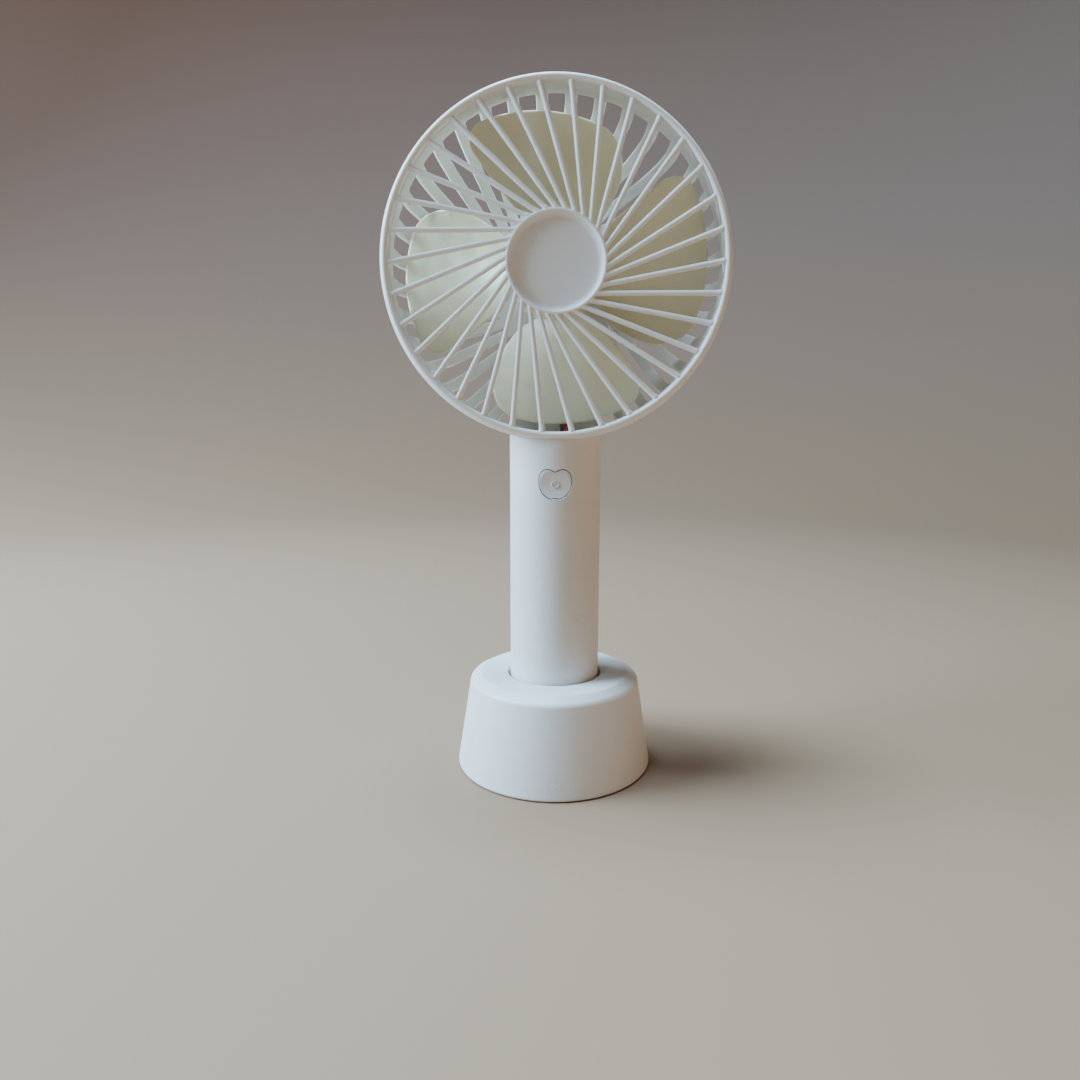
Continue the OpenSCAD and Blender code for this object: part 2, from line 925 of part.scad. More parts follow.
module base_screws() {
    color("silver")
        on_dock_screws()
            difference() {
                union() {
                    translate([0, 0, 1.8])
                        cylinder(r = screw_r, h = 9);
                    translate([0, 0, 0.6])
                        cylinder(r = 1.9, h = 1.28);
                }
                for (turn = [0, 90])
                    rotate([0, 0, turn])
                        translate([-1.1, -0.22, 0])
                            cube([2.2, 0.44, 1.2]);
            }
}

base_shell();
base_plate();
foot_ring();
base_screws();
front_grille();
rear_housing();
front_shell();
end_cap();
case_screws();
motor_can();
motor_end_cap();
motor_magnets();
front_bush();
rear_bush();
motor_brushes();
motor_terminals();
motor_wire_red();
motor_wire_black();
impeller();
motor_shaft();
armature_core();
armature_windings();
commutator();
circuit_board();
controller_chip();
board_components();
tactile_switch();
charge_led();
light_pipe();
usb_shell();
usb_tongue();
battery_cell();
battery_wrap();
battery_tabs();
cell_pads();
battery_lead_red();
battery_lead_black();
power_button();
switch_plunger();
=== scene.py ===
"""Handheld electric fan in its desk dock: detailed pieces, finishes, light and camera.

Shapes are worked out in millimetres and turned into metres when a mesh is made.
The head has its own frame: x to the right, y up, z towards the front, zero on the handle's axis.
"""

import json
import math

import bmesh
import bpy
import numpy as np
from mathutils import Matrix, Vector

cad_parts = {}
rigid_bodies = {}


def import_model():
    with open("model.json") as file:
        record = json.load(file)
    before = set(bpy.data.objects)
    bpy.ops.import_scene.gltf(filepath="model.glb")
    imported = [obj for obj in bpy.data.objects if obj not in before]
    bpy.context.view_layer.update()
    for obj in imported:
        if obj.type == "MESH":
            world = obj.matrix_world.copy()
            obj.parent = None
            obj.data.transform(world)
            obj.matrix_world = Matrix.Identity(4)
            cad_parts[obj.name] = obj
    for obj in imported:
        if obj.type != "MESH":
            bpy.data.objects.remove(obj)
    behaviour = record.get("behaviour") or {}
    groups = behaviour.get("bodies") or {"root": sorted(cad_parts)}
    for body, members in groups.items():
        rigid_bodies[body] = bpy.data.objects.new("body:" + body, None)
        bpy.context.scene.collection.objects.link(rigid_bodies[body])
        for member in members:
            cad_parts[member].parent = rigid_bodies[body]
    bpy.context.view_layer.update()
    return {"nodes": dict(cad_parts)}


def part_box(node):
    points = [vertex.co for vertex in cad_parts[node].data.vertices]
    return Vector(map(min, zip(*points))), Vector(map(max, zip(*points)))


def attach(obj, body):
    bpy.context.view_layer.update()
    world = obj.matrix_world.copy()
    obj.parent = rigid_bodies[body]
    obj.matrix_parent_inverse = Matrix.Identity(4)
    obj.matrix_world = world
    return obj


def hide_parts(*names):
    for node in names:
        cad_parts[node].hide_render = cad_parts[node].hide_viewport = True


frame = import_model()

MM = 0.001


def box_mm(node):
    """Lowest and highest corner of a CAD node, in millimetres."""
    low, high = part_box(node)
    return np.array(low) / MM, np.array(high) / MM


# ---- Driving sizes, read from the frame ----

GRILLE_LOW, GRILLE_HIGH = box_mm("front_grille")
HOUSING_LOW, HOUSING_HIGH = box_mm("rear_housing")
SHELL_LOW, SHELL_HIGH = box_mm("front_shell")
BUTTON_HIGH = box_mm("power_button")[1]
DOCK_LOW, DOCK_HIGH = box_mm("base_shell")
PLATE_LOW, PLATE_HIGH = box_mm("base_plate")
FOOT_LOW, FOOT_HIGH = box_mm("foot_ring")
CAP_LOW, CAP_HIGH = box_mm("end_cap")
BLADES_HIGH = box_mm("impeller")[1]

RING_R = (GRILLE_HIGH[0] - GRILLE_LOW[0]) / 2
HEAD_Z = (GRILLE_HIGH[2] + GRILLE_LOW[2]) / 2
RING_FRONT = -GRILLE_LOW[1]
RING_BACK = -HOUSING_LOW[1] + 0.1
DRUM_R = HOUSING_HIGH[0]
HANDLE_R = SHELL_HIGH[0]
HANDLE_LOW = SHELL_LOW[2]
DOCK_H = DOCK_HIGH[2]
DOCK_R = DOCK_HIGH[0]
BLADE_R = BLADES_HIGH[0]

# Front grille
RING_TUBE = 0.9
RING_SIDE_R = 8
RING_SIDE_Z = 10.6
RING_SIDE_SWEEP = 30
RING_TUBE_C = (
    RING_R - RING_SIDE_R + (RING_SIDE_R - RING_TUBE) * math.cos(math.radians(RING_SIDE_SWEEP)),
    RING_FRONT - RING_TUBE,
)
HUB_R = 14.4
ROD_COUNT = 34
ROD_R = (0.8, 0.7)
ROD_Z = 13.9
ROD_MISS = 8.6
ROD_PHASE = 4.6

# Rear housing
WALL = 1.7
CORNER_R = 13.2
CORNER_Z = -4
CORNER_SWEEP = 80
CORNER_C = DRUM_R - CORNER_R
DOME_REACH = CORNER_C / math.cos(math.radians(CORNER_SWEEP))
DOME_Z = CORNER_Z + DOME_REACH * math.sin(math.radians(CORNER_SWEEP))
BAR_COUNT = 36
BAR_MISS = 8
BAR_W = (3.4, 3.0)
BAR_SUNK = 1.2
SLOT_FRONT = 3.6
SLOT_IN = 21.5
SLOT_OVER_HANDLE = 41

# Impeller
BLADE_COUNT = 4
BLADE_HALF = 38
BLADE_ROOT = 13
BLADE_ROOT_HALF = 24
BLADE_FULL = 22
BLADE_LEAD = 0.27
BLADE_T = 1.1
BLADE_MID = -2.3
FRONT_CORNER = (8, 8)
REAR_CORNER = (17, 24)
SKIRT_R = 13.8

# Handle: half sizes are of the patches round the holes of its front and its rear shell
SEAM = math.pi * HANDLE_R / 2
SEAM_ROUND = 0.22
KEY_GAP = 0.22
KEY_HALF = 8.6
REAR_HALF = 5.5
KEY_LOBES = [(2.17, 1.8, 2.5), (1.33, 0.37, 3.42), (0.74, -0.29, 3.74), (1.16, -2.58, 1.61)]
BUTTON_Z = 90.4
CASE_SCREWS = (10.4, 100.2)
PORT_Z = 84.5
LED_Z = 94.5

# Dock
SOCKET_R = HANDLE_R + 0.8
SOCKET_FLOOR = 5.2
DOCK_SCREW_R = 20.5
DOCK_SCREWS = [
    (DOCK_SCREW_R * math.cos(a), DOCK_SCREW_R * math.sin(a)) for a in np.radians([30, 150, 270])
]

# Wires: the routes of the frame, by node
WIRE_R = 0.6
DOWN = [(16.4, 130), (15.4, 122), (14.6, 117), (13.2, 112), (11.1, 109), (8.3, 107.1)]
MOTOR_RED = [
    (3.5, 16.3, 144.6), (3.5, 16.6, 141), (3.4, 16.8, 138), *((3.3, y, z) for y, z in DOWN),
    (3.3, 4.6, 106.3), (3.3, 1, 106.1), (3.4, -1, 105), (4, -1.3, 103.4), (4.6, -1.2, 101),
    (4.6, -0.6, 98), (4.5, -0.2, 96),
]
MOTOR_BLACK = [
    (-3.5, 16.3, 144.6), (-2.6, 16.6, 142.8), (0.2, 16.7, 141.8), (1.8, 16.8, 139.8),
    (1.9, 16.8, 136.6), *((1.9, y, z) for y, z in DOWN), (1.9, 4.6, 106.2), (1.9, 1, 106),
    (2, -1, 105), (2.5, -1.3, 103.4), (3.1, -1.2, 101.5), (3, -0.6, 98), (2.8, -0.2, 96),
]
LEAD_RED = [(3.4, 0, 78.9), (4.6, -0.3, 79.6), (5.6, -0.2, 81.2), (5.7, -0.2, 83.5)]
LEAD_BLACK = [
    (-6.6, 0, 12.2), (-9.2, 0, 12.4), *((-10.7, 0, z) for z in (14.5, 25, 40, 55, 70)),
    (-10.4, 0, 76.5), (-8.6, -0.2, 79.6), (-6.2, -0.2, 81.4), (-5.6, -0.2, 83.5),
]
WIRES = {
    "motor_wire_red": MOTOR_RED, "motor_wire_black": MOTOR_BLACK,
    "battery_lead_red": LEAD_RED, "battery_lead_black": LEAD_BLACK,
}


# ---- Points and outlines ----

def clock(radius, angle):
    """Front-view point at a radius and a clockwise angle from the top, in degrees."""
    a = np.radians(angle)
    return np.stack([radius * np.sin(a), radius * np.cos(a)], axis=-1)


def arc(centre, radius, start, end, steps):
    """Points on a circular arc between two angles in degrees."""
    a = np.radians(np.linspace(start, end, steps + 1))
    return [(centre[0] + radius * math.cos(t), centre[1] + radius * math.sin(t)) for t in a]


def rounded(corners, steps=5):
    """Outline through corners (x, y, radius), each rounded by its own radius."""
    out = []
    for i, (x, y, radius) in enumerate(corners):
        p = np.array([x, y], float)
        if radius == 0:
            out.append(tuple(p))
            continue
        a = np.array(corners[i - 1][:2]) - p
        b = np.array(corners[(i + 1) % len(corners)][:2]) - p
        a /= np.linalg.norm(a)
        b /= np.linalg.norm(b)
        half = math.acos(np.clip(a @ b, -1, 1)) / 2
        middle = (a + b) / np.linalg.norm(a + b)
        centre = p + middle * radius / math.sin(half)
        first = p + a * radius / math.tan(half) - centre
        last = p + b * radius / math.tan(half) - centre
        turn = math.pi - 2 * half
        for k in range(steps + 1):
            t = k / steps
            w0 = math.sin((1 - t) * turn) / math.sin(turn)
            w1 = math.sin(t * turn) / math.sin(turn)
            out.append(tuple(centre + first * w0 + last * w1))
    return out


def fillet(distance, radius):
    """How far a quarter-round edge drops at a distance from the edge."""
    left = np.clip(radius - np.asarray(distance, float), 0, radius)
    return radius - np.sqrt(radius * radius - left * left)


def smooth_route(route, steps=8):
    """Catmull-Rom curve through a route's points."""
    p = np.array([route[0], *route, route[-1]], float)
    t = np.linspace(0, 1, steps, endpoint=False)[:, None]
    out = []
    for a, b, c, d in zip(p, p[1:], p[2:], p[3:]):
        square, cube = 2 * a - 5 * b + 4 * c - d, 3 * b - a - 3 * c + d
        out.append(0.5 * (2 * b + (c - a) * t + square * t**2 + cube * t**3))
    return np.vstack(out + [p[-1:]])


# ---- Solids: (points, faces) in millimetres ----

def grid_faces(rows, columns, wrap_rows, wrap_columns):
    """Quads of a grid of points, row by row."""
    faces = []
    for i in range(rows if wrap_rows else rows - 1):
        for k in range(columns if wrap_columns else columns - 1):
            j, m = (i + 1) % rows, (k + 1) % columns
            faces.append((i * columns + k, i * columns + m, j * columns + m, j * columns + k))
    return faces


def lofted(rings):
    """Closed solid through rings of equally many points."""
    rings = np.asarray(rings, float)
    rows, columns = rings.shape[:2]
    faces = grid_faces(rows, columns, False, True)
    faces.append(tuple(range(columns))[::-1])
    faces.append(tuple((rows - 1) * columns + k for k in range(columns)))
    return rings.reshape(-1, 3), faces


def revolved(outline, steps=192):
    """Solid of revolution of an (r, z) outline about z, whose ends may both lie on the axis."""
    outline = np.array(outline, float)
    on_axis = abs(outline[0, 0]) < 1e-9 and abs(outline[-1, 0]) < 1e-9
    a = np.linspace(0, 2 * math.pi, steps, endpoint=False)
    r, z = outline[:, 0], outline[:, 1]
    x, y = np.outer(np.cos(a), r), np.outer(np.sin(a), r)
    points = np.stack([x, y, np.tile(z, (steps, 1))], axis=-1)
    return points.reshape(-1, 3), grid_faces(steps, len(outline), True, not on_axis)


def swept(path, radius, sides=16):
    """Round tube along a path; radius is one number or one for each point."""
    path = np.asarray(path, float)
    radius = np.broadcast_to(np.asarray(radius, float), (len(path),))
    along = np.gradient(path, axis=0)
    along /= np.linalg.norm(along, axis=1)[:, None]
    side = np.cross(along[0], (0.3, 0.2, 1.0))
    rings = []
    for p, t, r in zip(path, along, radius):
        side = side - t * (side @ t)
        side /= np.linalg.norm(side)
        up = np.cross(t, side)
        a = np.linspace(0, 2 * math.pi, sides, endpoint=False)[:, None]
        rings.append(p + max(r, 1e-3) * (np.cos(a) * side + np.sin(a) * up))
    return lofted(rings)


def placed(solid, move):
    """The solid with a function applied to its points."""
    points, faces = solid
    return move(np.asarray(points, float)), faces


def to_head(p):
    """Head frame to row frame."""
    return np.column_stack([p[:, 0], -p[:, 2], p[:, 1] + HEAD_Z])


def along_y(y0, x, z):
    """Turns a solid about z into one about an axis along +Y through (x, z)."""
    return lambda p: np.column_stack([p[:, 0] + x, p[:, 2] + y0, -p[:, 1] + z])


# ---- Meshes and objects ----

def mesh_from(name, solids):
    """One mesh of closed solids, with outward normals, in metres."""
    bm = bmesh.new()
    for points, faces in solids:
        verts = [bm.verts.new(p) for p in np.asarray(points, float)]
        for f in faces:
            bm.faces.new([verts[i] for i in f])
    bmesh.ops.remove_doubles(bm, verts=bm.verts, dist=1e-5)
    bmesh.ops.dissolve_degenerate(bm, edges=bm.edges, dist=1e-6)
    bmesh.ops.recalc_face_normals(bm, faces=bm.faces)
    bmesh.ops.scale(bm, vec=(MM, MM, MM), verts=bm.verts)
    mesh = bpy.data.meshes.new(name)
    bm.to_mesh(mesh)
    bm.free()
    return mesh


def linked(name, data):
    """A new object in the scene."""
    obj = bpy.data.objects.new(name, data)
    bpy.context.scene.collection.objects.link(obj)
    return obj


def object_from(name, solids):
    return linked(name, mesh_from(name, solids))


def apply_modifiers(obj):
    """Replaces the object's mesh with what its modifiers make of it."""
    graph = bpy.context.evaluated_depsgraph_get()
    made = bpy.data.meshes.new_from_object(obj.evaluated_get(graph))
    obj.modifiers.clear()
    old, obj.data = obj.data, made
    bpy.data.meshes.remove(old)


def boolean(obj, solids, operation):
    """Adds solids to the object, or cuts them out of it."""
    tools = bpy.data.collections.new("tools")
    bpy.context.scene.collection.children.link(tools)
    for i, solid in enumerate(solids):
        tool = bpy.data.objects.new(f"tool_{i}", mesh_from("tool", [solid]))
        tools.objects.link(tool)
    mod = obj.modifiers.new(operation, "BOOLEAN")
    mod.operation = operation
    mod.operand_type = "COLLECTION"
    mod.collection = tools
    mod.solver = "MANIFOLD"
    apply_modifiers(obj)
    for tool in list(tools.objects):
        bpy.data.objects.remove(tool)
    bpy.data.collections.remove(tools)


def coat(mesh, finish):
    """Gives a mesh one finish in place of its own."""
    mesh.materials.clear()
    mesh.materials.append(FINISHES[finish])


def finish_piece(obj, body, slot, node, sharp=38):
    """Shades a piece, gives it its finish, ties it to its body and hides the CAD node it stands
    for.
    """
    coat(obj.data, slot)
    obj.data.shade_smooth()
    obj.data.set_sharp_from_angle(angle=math.radians(sharp))
    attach(obj, body)
    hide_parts(node)


def make_piece(name, solids, body, slot, node, sharp=38):
    """A finished piece of closed solids."""
    obj = object_from(name, solids)
    finish_piece(obj, body, slot, node, sharp)
    return obj


def shade_gap(obj, inside):
    """Paints shade onto walls deep in a narrow joint, where light hardly reaches; inside(centre,
    normal) picks them.
    """
    obj.data.materials.append(FINISHES["gap_dust"])
    for face in obj.data.polygons:
        if inside(face.center / MM, face.normal):
            face.material_index = 1


# ---- Finishes, by name; a piece's slot names its finish ----

FINISHES = {}


class Finish:
    """A material's node tree with short calls for the nodes that the finishes share."""

    def __init__(self, name):
        self.material = FINISHES[name] = bpy.data.materials.new(name)
        self.material.use_nodes = True
        self.tree = self.material.node_tree
        self.shader = self.tree.nodes["Principled BSDF"]
        self.place = self.node("ShaderNodeTexCoord").outputs["Object"]

    def put(self, socket, value):
        if isinstance(value, bpy.types.NodeSocket):
            self.tree.links.new(value, socket)
        else:
            socket.default_value = value

    def node(self, kind, inputs=None, **settings):
        made = self.tree.nodes.new(kind)
        for key, value in settings.items():
            setattr(made, key, value)
        for key, value in (inputs or {}).items():
            self.put(made.inputs[key], value)
        return made

    def noise(self, scale, detail=2.0, roughness=0.5, place=None):
        inputs = {"Vector": place or self.place, "Scale": scale}
        inputs.update({"Detail": detail, "Roughness": roughness})
        return self.node("ShaderNodeTexNoise", inputs).outputs["Fac"]

    def ramp(self, value, low, high, to_low=0.0, to_high=1.0):
        names = ("Value", "From Min", "From Max", "To Min", "To Max")
        inputs = dict(zip(names, (value, low, high, to_low, to_high)))
        return self.node("ShaderNodeMapRange", inputs).outputs["Result"]

    def multiply(self, a, b):
        return self.node("ShaderNodeMath", {0: a, 1: b}, operation="MULTIPLY").outputs[0]

    def add(self, a, b):
        return self.node("ShaderNodeMath", {0: a, 1: b}, operation="ADD").outputs[0]

    def mix(self, factor, a, b):
        return self.node("ShaderNodeMix", {0: factor, 6: a, 7: b}, data_type="RGBA").outputs[2]

    def bump(self, height, distance, strength=1.0, normal=None):
        inputs = {"Height": height, "Distance": distance, "Strength": strength}
        if normal is not None:
            inputs["Normal"] = normal
        return self.node("ShaderNodeBump", inputs).outputs["Normal"]

    def set(self, **values):
        """Sets the shader's sockets, named with underscores, and gives the finished material."""
        for key, value in values.items():
            self.put(self.shader.inputs[key.replace("_", " ")], value)
        return self.material


def rgb(r, g, b):
    return (r, g, b, 1.0)


def moulded_plastic(name, colour, shade, roughness, grain=1.0, scuffs=1.0, subsurface=0.0):
    """Moulded plastic: fine spark-eroded grain, faint flow waves, uneven tint and light scuffs."""
    f = Finish(name)
    tint = f.ramp(f.noise(28, 3), 0.35, 0.7)
    mottle = f.ramp(f.noise(420, 4, 0.6), 0.3, 0.7, 0, 0.35)
    worn = f.multiply(
        f.ramp(f.noise(110, 6, 0.7), 0.6, 0.72, 0, scuffs),
        f.ramp(f.noise(1500, 3), 0.45, 0.65),
    )
    base = f.mix(tint, colour, shade)
    base = f.mix(f.multiply(mottle, 0.5), base, rgb(*(c * 0.9 for c in shade[:3])))
    base = f.mix(f.multiply(worn, 0.35), base, rgb(0.42, 0.40, 0.36))
    rough = f.ramp(f.noise(900, 3), 0.3, 0.7, roughness - 0.05, roughness + 0.06)
    rough = f.add(rough, f.multiply(worn, 0.18))
    waves = f.bump(f.noise(60, 2), 0.00006, 0.5)
    fine = f.bump(f.noise(3800, 2, 0.6), 0.000022, 0.55 * grain, waves)
    f.set(IOR=1.5, Subsurface_Weight=subsurface, Subsurface_Scale=0.0015)
    return f.set(
        Base_Color=base, Roughness=rough, Normal=fine, Subsurface_Radius=(1.0, 0.78, 0.5)
    )


def metal(name, colour, roughness, stretch=(1, 1, 12)):
    """Drawn or turned metal: streaks along the drawing direction and small stains."""
    f = Finish(name)
    inputs = {"Vector": f.place, "Scale": stretch}
    lines = f.node("ShaderNodeMapping", inputs).outputs["Vector"]
    streak = f.noise(700, 3, 0.6, lines)
    stain = f.ramp(f.noise(160, 4), 0.45, 0.75)
    base = f.mix(f.multiply(stain, 0.4), colour, rgb(*(c * 0.72 for c in colour[:3])))
    rough = f.ramp(streak, 0.3, 0.7, roughness - 0.08, roughness + 0.12)
    fine = f.bump(streak, 0.00001, 0.4)
    return f.set(Base_Color=base, Metallic=1.0, Roughness=rough, Normal=fine)


def dull(name, colour, roughness, scale=900, depth=0.00004):
    """Matt rubber, foam, resin or ferrite: grainy surface with an uneven tone."""
    f = Finish(name)
    tone = f.ramp(f.noise(scale * 0.25, 4), 0.35, 0.7)
    base = f.mix(tone, colour, rgb(*(min(1, c * 1.35 + 0.01) for c in colour[:3])))
    rough = f.ramp(f.noise(scale, 2), 0.3, 0.7, roughness - 0.06, min(1, roughness + 0.06))
    return f.set(Base_Color=base, Roughness=rough, Normal=f.bump(f.noise(scale, 3), depth, 0.6))


def clear_plastic(name):
    """Clear light guide with a slight frost."""
    f = Finish(name)
    rough = f.ramp(f.noise(1200, 2), 0.3, 0.7, 0.08, 0.22)
    frost = f.mix(f.noise(500, 2), rgb(0.86, 0.9, 0.92), rgb(0.95, 0.97, 0.98))
    return f.set(Base_Color=frost, Roughness=rough, IOR=1.49, Transmission_Weight=0.75)


PLASTICS = (
    ("shell_white", rgb(0.80, 0.80, 0.78), rgb(0.765, 0.76, 0.73), 0.42, 1, 1, 0.3),
    ("button_white", rgb(0.79, 0.79, 0.77), rgb(0.755, 0.75, 0.72), 0.38, 0.7, 1, 0.3),
    ("blade_cream", rgb(0.82, 0.78, 0.56), rgb(0.76, 0.71, 0.48), 0.36, 0.6, 0.5, 0.18),
    ("motor_plastic", rgb(0.72, 0.70, 0.62), rgb(0.66, 0.63, 0.55), 0.5),
)
METALS = (
    ("screw_steel", rgb(0.56, 0.57, 0.58), 0.32),
    ("motor_steel", rgb(0.62, 0.62, 0.60), 0.28, (1, 14, 1)),
    ("port_steel", rgb(0.66, 0.66, 0.66), 0.24, (1, 10, 1)),
    ("lamination_steel", rgb(0.34, 0.35, 0.37), 0.42, (1, 40, 1)),
    ("bronze", rgb(0.62, 0.42, 0.2), 0.35),
    ("copper_wire", rgb(0.72, 0.34, 0.15), 0.3, (1, 22, 1)),
)
DULL = (
    ("foot_rubber", rgb(0.05, 0.05, 0.052), 0.8),
    ("foam_grey", rgb(0.06, 0.06, 0.065), 0.95, 1600, 0.00012),
    ("ferrite", rgb(0.045, 0.045, 0.05), 0.7),
    ("board_green", rgb(0.02, 0.10, 0.035), 0.4, 1400, 0.00001),
    ("chip_black", rgb(0.018, 0.018, 0.02), 0.5, 2200, 0.00001),
    ("component_tan", rgb(0.42, 0.30, 0.18), 0.45, 1400, 0.00001),
    ("wrap_blue", rgb(0.03, 0.12, 0.42), 0.3, 500, 0.00001),
    ("wire_red", rgb(0.42, 0.02, 0.015), 0.42, 900, 0.00001),
    ("wire_black", rgb(0.012, 0.012, 0.013), 0.42, 900, 0.00001),
    # a dark colour that paints the shade in deep joints, not the plastic's own colour
    ("gap_dust", rgb(0.17, 0.15, 0.13), 0.9),
)
NODE_FINISH = {
    "lamination_steel": "armature_core",
    "copper_wire": "armature_windings",
    "port_steel": "battery_cell battery_tabs",
    "wrap_blue": "battery_wrap",
    "component_tan": "board_components",
    "foam_grey": "cell_pads",
    "led_clear": "charge_led",
    "board_green": "circuit_board",
    "chip_black": "controller_chip tactile_switch usb_tongue",
    "bronze": "commutator front_bush rear_bush motor_brushes motor_terminals",
    "motor_steel": "motor_can motor_shaft",
    "motor_plastic": "motor_end_cap",
    "ferrite": "motor_magnets",
    "button_white": "switch_plunger",
}


def build_finishes():
    for build, rows in ((moulded_plastic, PLASTICS), (metal, METALS), (dull, DULL)):
        for row in rows:
            build(*row)
    clear_plastic("led_clear")


def finish_inner_nodes():
    """Gives every CAD node that stays its own finish."""
    for finish, nodes in NODE_FINISH.items():
        for node in nodes.split():
            coat(frame["nodes"][node].data, finish)


# ---- Front grille ----

def grille_ring():
    """Round front edge with a curved outer side, and the collar that snaps into the housing."""
    wall = RING_TUBE_C[0] - RING_TUBE
    collar_out = DRUM_R - WALL - 0.1
    back = RING_BACK - 2.6
    outline = [(RING_R - 0.3, RING_BACK), (RING_R - 0.09, RING_BACK + 0.09)]
    outline.append((RING_R, RING_BACK + 0.3))
    outline += arc((RING_R - RING_SIDE_R, RING_SIDE_Z), RING_SIDE_R, 0, RING_SIDE_SWEEP, 12)[:-1]
    outline += arc(RING_TUBE_C, RING_TUBE, RING_SIDE_SWEEP, 180, 18)
    for step, z in ((0.25, 2.35), (0.24, 2.25), (0.05, 2.1), (0, 2)):
        outline.append((wall + step, RING_BACK + z))
    outline += [(wall, back + 0.2), (wall + 0.1, back), (collar_out - 0.15, back)]
    outline += [(collar_out, back + 0.2), (collar_out, RING_BACK)]
    return revolved(outline, 288)


def ring_side(z):
    """Outer radius of the ring's side at a depth in the head frame."""
    rise = min(max(z - RING_SIDE_Z, 0.0), RING_SIDE_R * 0.9)
    return RING_R - RING_SIDE_R + math.sqrt(RING_SIDE_R**2 - rise * rise)


def grille_hub():
    """Blank disc with a narrow rim that slopes into a shallow flat dish."""
    rim = 0.45
    front = RING_FRONT - 0.25
    floor = front - 1.6
    slope = 2.1
    outline = [(0, front - 2.9), (HUB_R - 1.5, front - 2.9)]
    outline += [(HUB_R - 0.4, front - 2.6), (HUB_R, front - 2.2)]
    outline += arc((HUB_R - rim, front - rim), rim, 0, 100, 12)
    outline += arc((HUB_R - 2.8, floor + slope), slope, -14, -90, 12)
    outline += [(HUB_R * k, floor) for k in (0.6, 0.4, 0.2, 0.1)] + [(0, floor)]
    return revolved(outline, 192)


def grille_rod(outer_angle):
    """Straight tapered rod with a rounded outer tip and small fillets at the ring and the hub."""
    r_out = RING_TUBE_C[0] - 0.35
    r_in = HUB_R - 0.6
    tip_length, ring_fillet, hub_fillet, fade = 0.8, 0.12, 0.16, 0.35
    turn = math.degrees(math.asin(ROD_MISS / r_in) - math.asin(ROD_MISS / r_out))
    a = clock(r_out, outer_angle)
    b = clock(r_in, outer_angle + turn)
    length = np.linalg.norm(b - a)
    spans = ((0, tip_length, 8), (1.0, 3.0, 8), (5, length - 3.2, 6), (length - 2.6, length, 11))
    s = np.concatenate([np.linspace(*span) for span in spans])
    left = 1 - np.clip(s / tip_length, 0, 1)
    tip = np.sqrt(np.clip(1 - left**2, 0.002, 1))
    at_ring = ring_fillet * np.exp(-np.clip(s - 1.2, 0, None) / fade) * (s > 0.5)
    at_hub = hub_fillet * np.exp(-np.clip(length - 1.2 - s, 0, None) / fade)
    size = ROD_R[0] + (ROD_R[1] - ROD_R[0]) * s / length
    flat = a + np.outer(s / length, b - a)
    path = np.column_stack([flat, np.full(len(s), ROD_Z)])
    return swept(path, size * tip + at_ring + at_hub, 20)


def build_grille():
    obj = object_from("front_grille_moulding", [placed(grille_ring(), to_head)])
    rods = [grille_rod(ROD_PHASE + i * 360 / ROD_COUNT) for i in range(ROD_COUNT)]
    boolean(obj, [placed(s, to_head) for s in [grille_hub(), *rods]], "UNION")
    finish_piece(obj, "fan", "shell_white", "front_grille")


# ---- Rear housing ----

def wall_stations(front_z, r_inner, step=0.9):
    """Middle of the wall, side wall to dome, as rows of (r, z, normal r, normal z)."""
    out = [(DRUM_R - WALL / 2, z, 1, 0) for z in np.arange(front_z, CORNER_Z, -step)]
    bend = CORNER_R - WALL / 2
    for a in np.radians(np.linspace(0, -CORNER_SWEEP, 22)):
        c, n = math.cos(a), math.sin(a)
        out.append((CORNER_C + bend * c, CORNER_Z + bend * n, c, n))
    dome = DOME_REACH + CORNER_R - WALL / 2
    r_bend = out[-1][0]
    for r in np.linspace(r_bend, r_inner, max(2, int((r_bend - r_inner) / step)))[1:]:
        c = r / dome
        out.append((r, DOME_Z - dome * math.sqrt(1 - c * c), c, -math.sqrt(1 - c * c)))
    out = [s for s in out if s[0] >= r_inner - 1e-6]
    return np.array(out)


def bar_angle(outer_angle, r, off):
    """Clockwise angle at radius r of a line that runs beside a bar's middle line by an offset."""
    turn = math.asin(BAR_MISS / DRUM_R) - np.arcsin(np.clip((BAR_MISS - off) / r, -1, 1))
    return outer_angle + np.degrees(turn)


def strip(stations, left, right, columns, edge=0.32):
    """Curved strip of the housing wall between two edges, each a function of a station's place."""
    half = WALL / 2
    turns = np.linspace(0, math.pi / 2, 5)
    corner = [(edge * (1 - math.sin(q)), half - edge * (1 - math.cos(q))) for q in turns]
    flat = [(t, edge * (1 - 2 * t)) for t in np.linspace(0, 1, columns + 1)]
    section = [(t, shift, half) for t, shift in flat]
    section += [(1, -shift, h) for shift, h in corner[1:]]
    section += [(1, -shift, -h) for shift, h in corner[::-1]]
    section += [(t, shift, -half) for t, shift in flat[::-1][1:]]
    section += [(0, shift, -h) for shift, h in corner[1:]]
    section += [(0, shift, h) for shift, h in corner[::-1][:-1]]
    rows = []
    for r, z, nr, nz in stations:
        a_left, a_right = left(r, z), right(r, z)
        ring = []
        for t, shift, h in section:
            angle = a_left + (a_right - a_left) * t + math.degrees(shift / r)
            x, y = clock(r + nr * h, angle)
            ring.append((x, y, z + nz * h))
        rows.append(ring)
    return lofted(rows)


def bar_half(r, z):
    """Half width of a bar, with fillets where it leaves the side wall and the rear hub."""
    share = (DRUM_R - r) / (DRUM_R - SLOT_IN)
    half = (BAR_W[0] + (BAR_W[1] - BAR_W[0]) * share) / 2
    from_front = SLOT_FRONT - z if r > DRUM_R - WALL else 9
    return half + float(fillet(from_front, 0.7)) + float(fillet(max(r - SLOT_IN, 0), 0.35)) * 0.6


def wall_strip(r_inner, columns, left, right):
    """Strip of the wall from inside the front band to a radius in the dome."""
    return strip(wall_stations(SLOT_FRONT + BAR_SUNK, r_inner), left, right, columns)


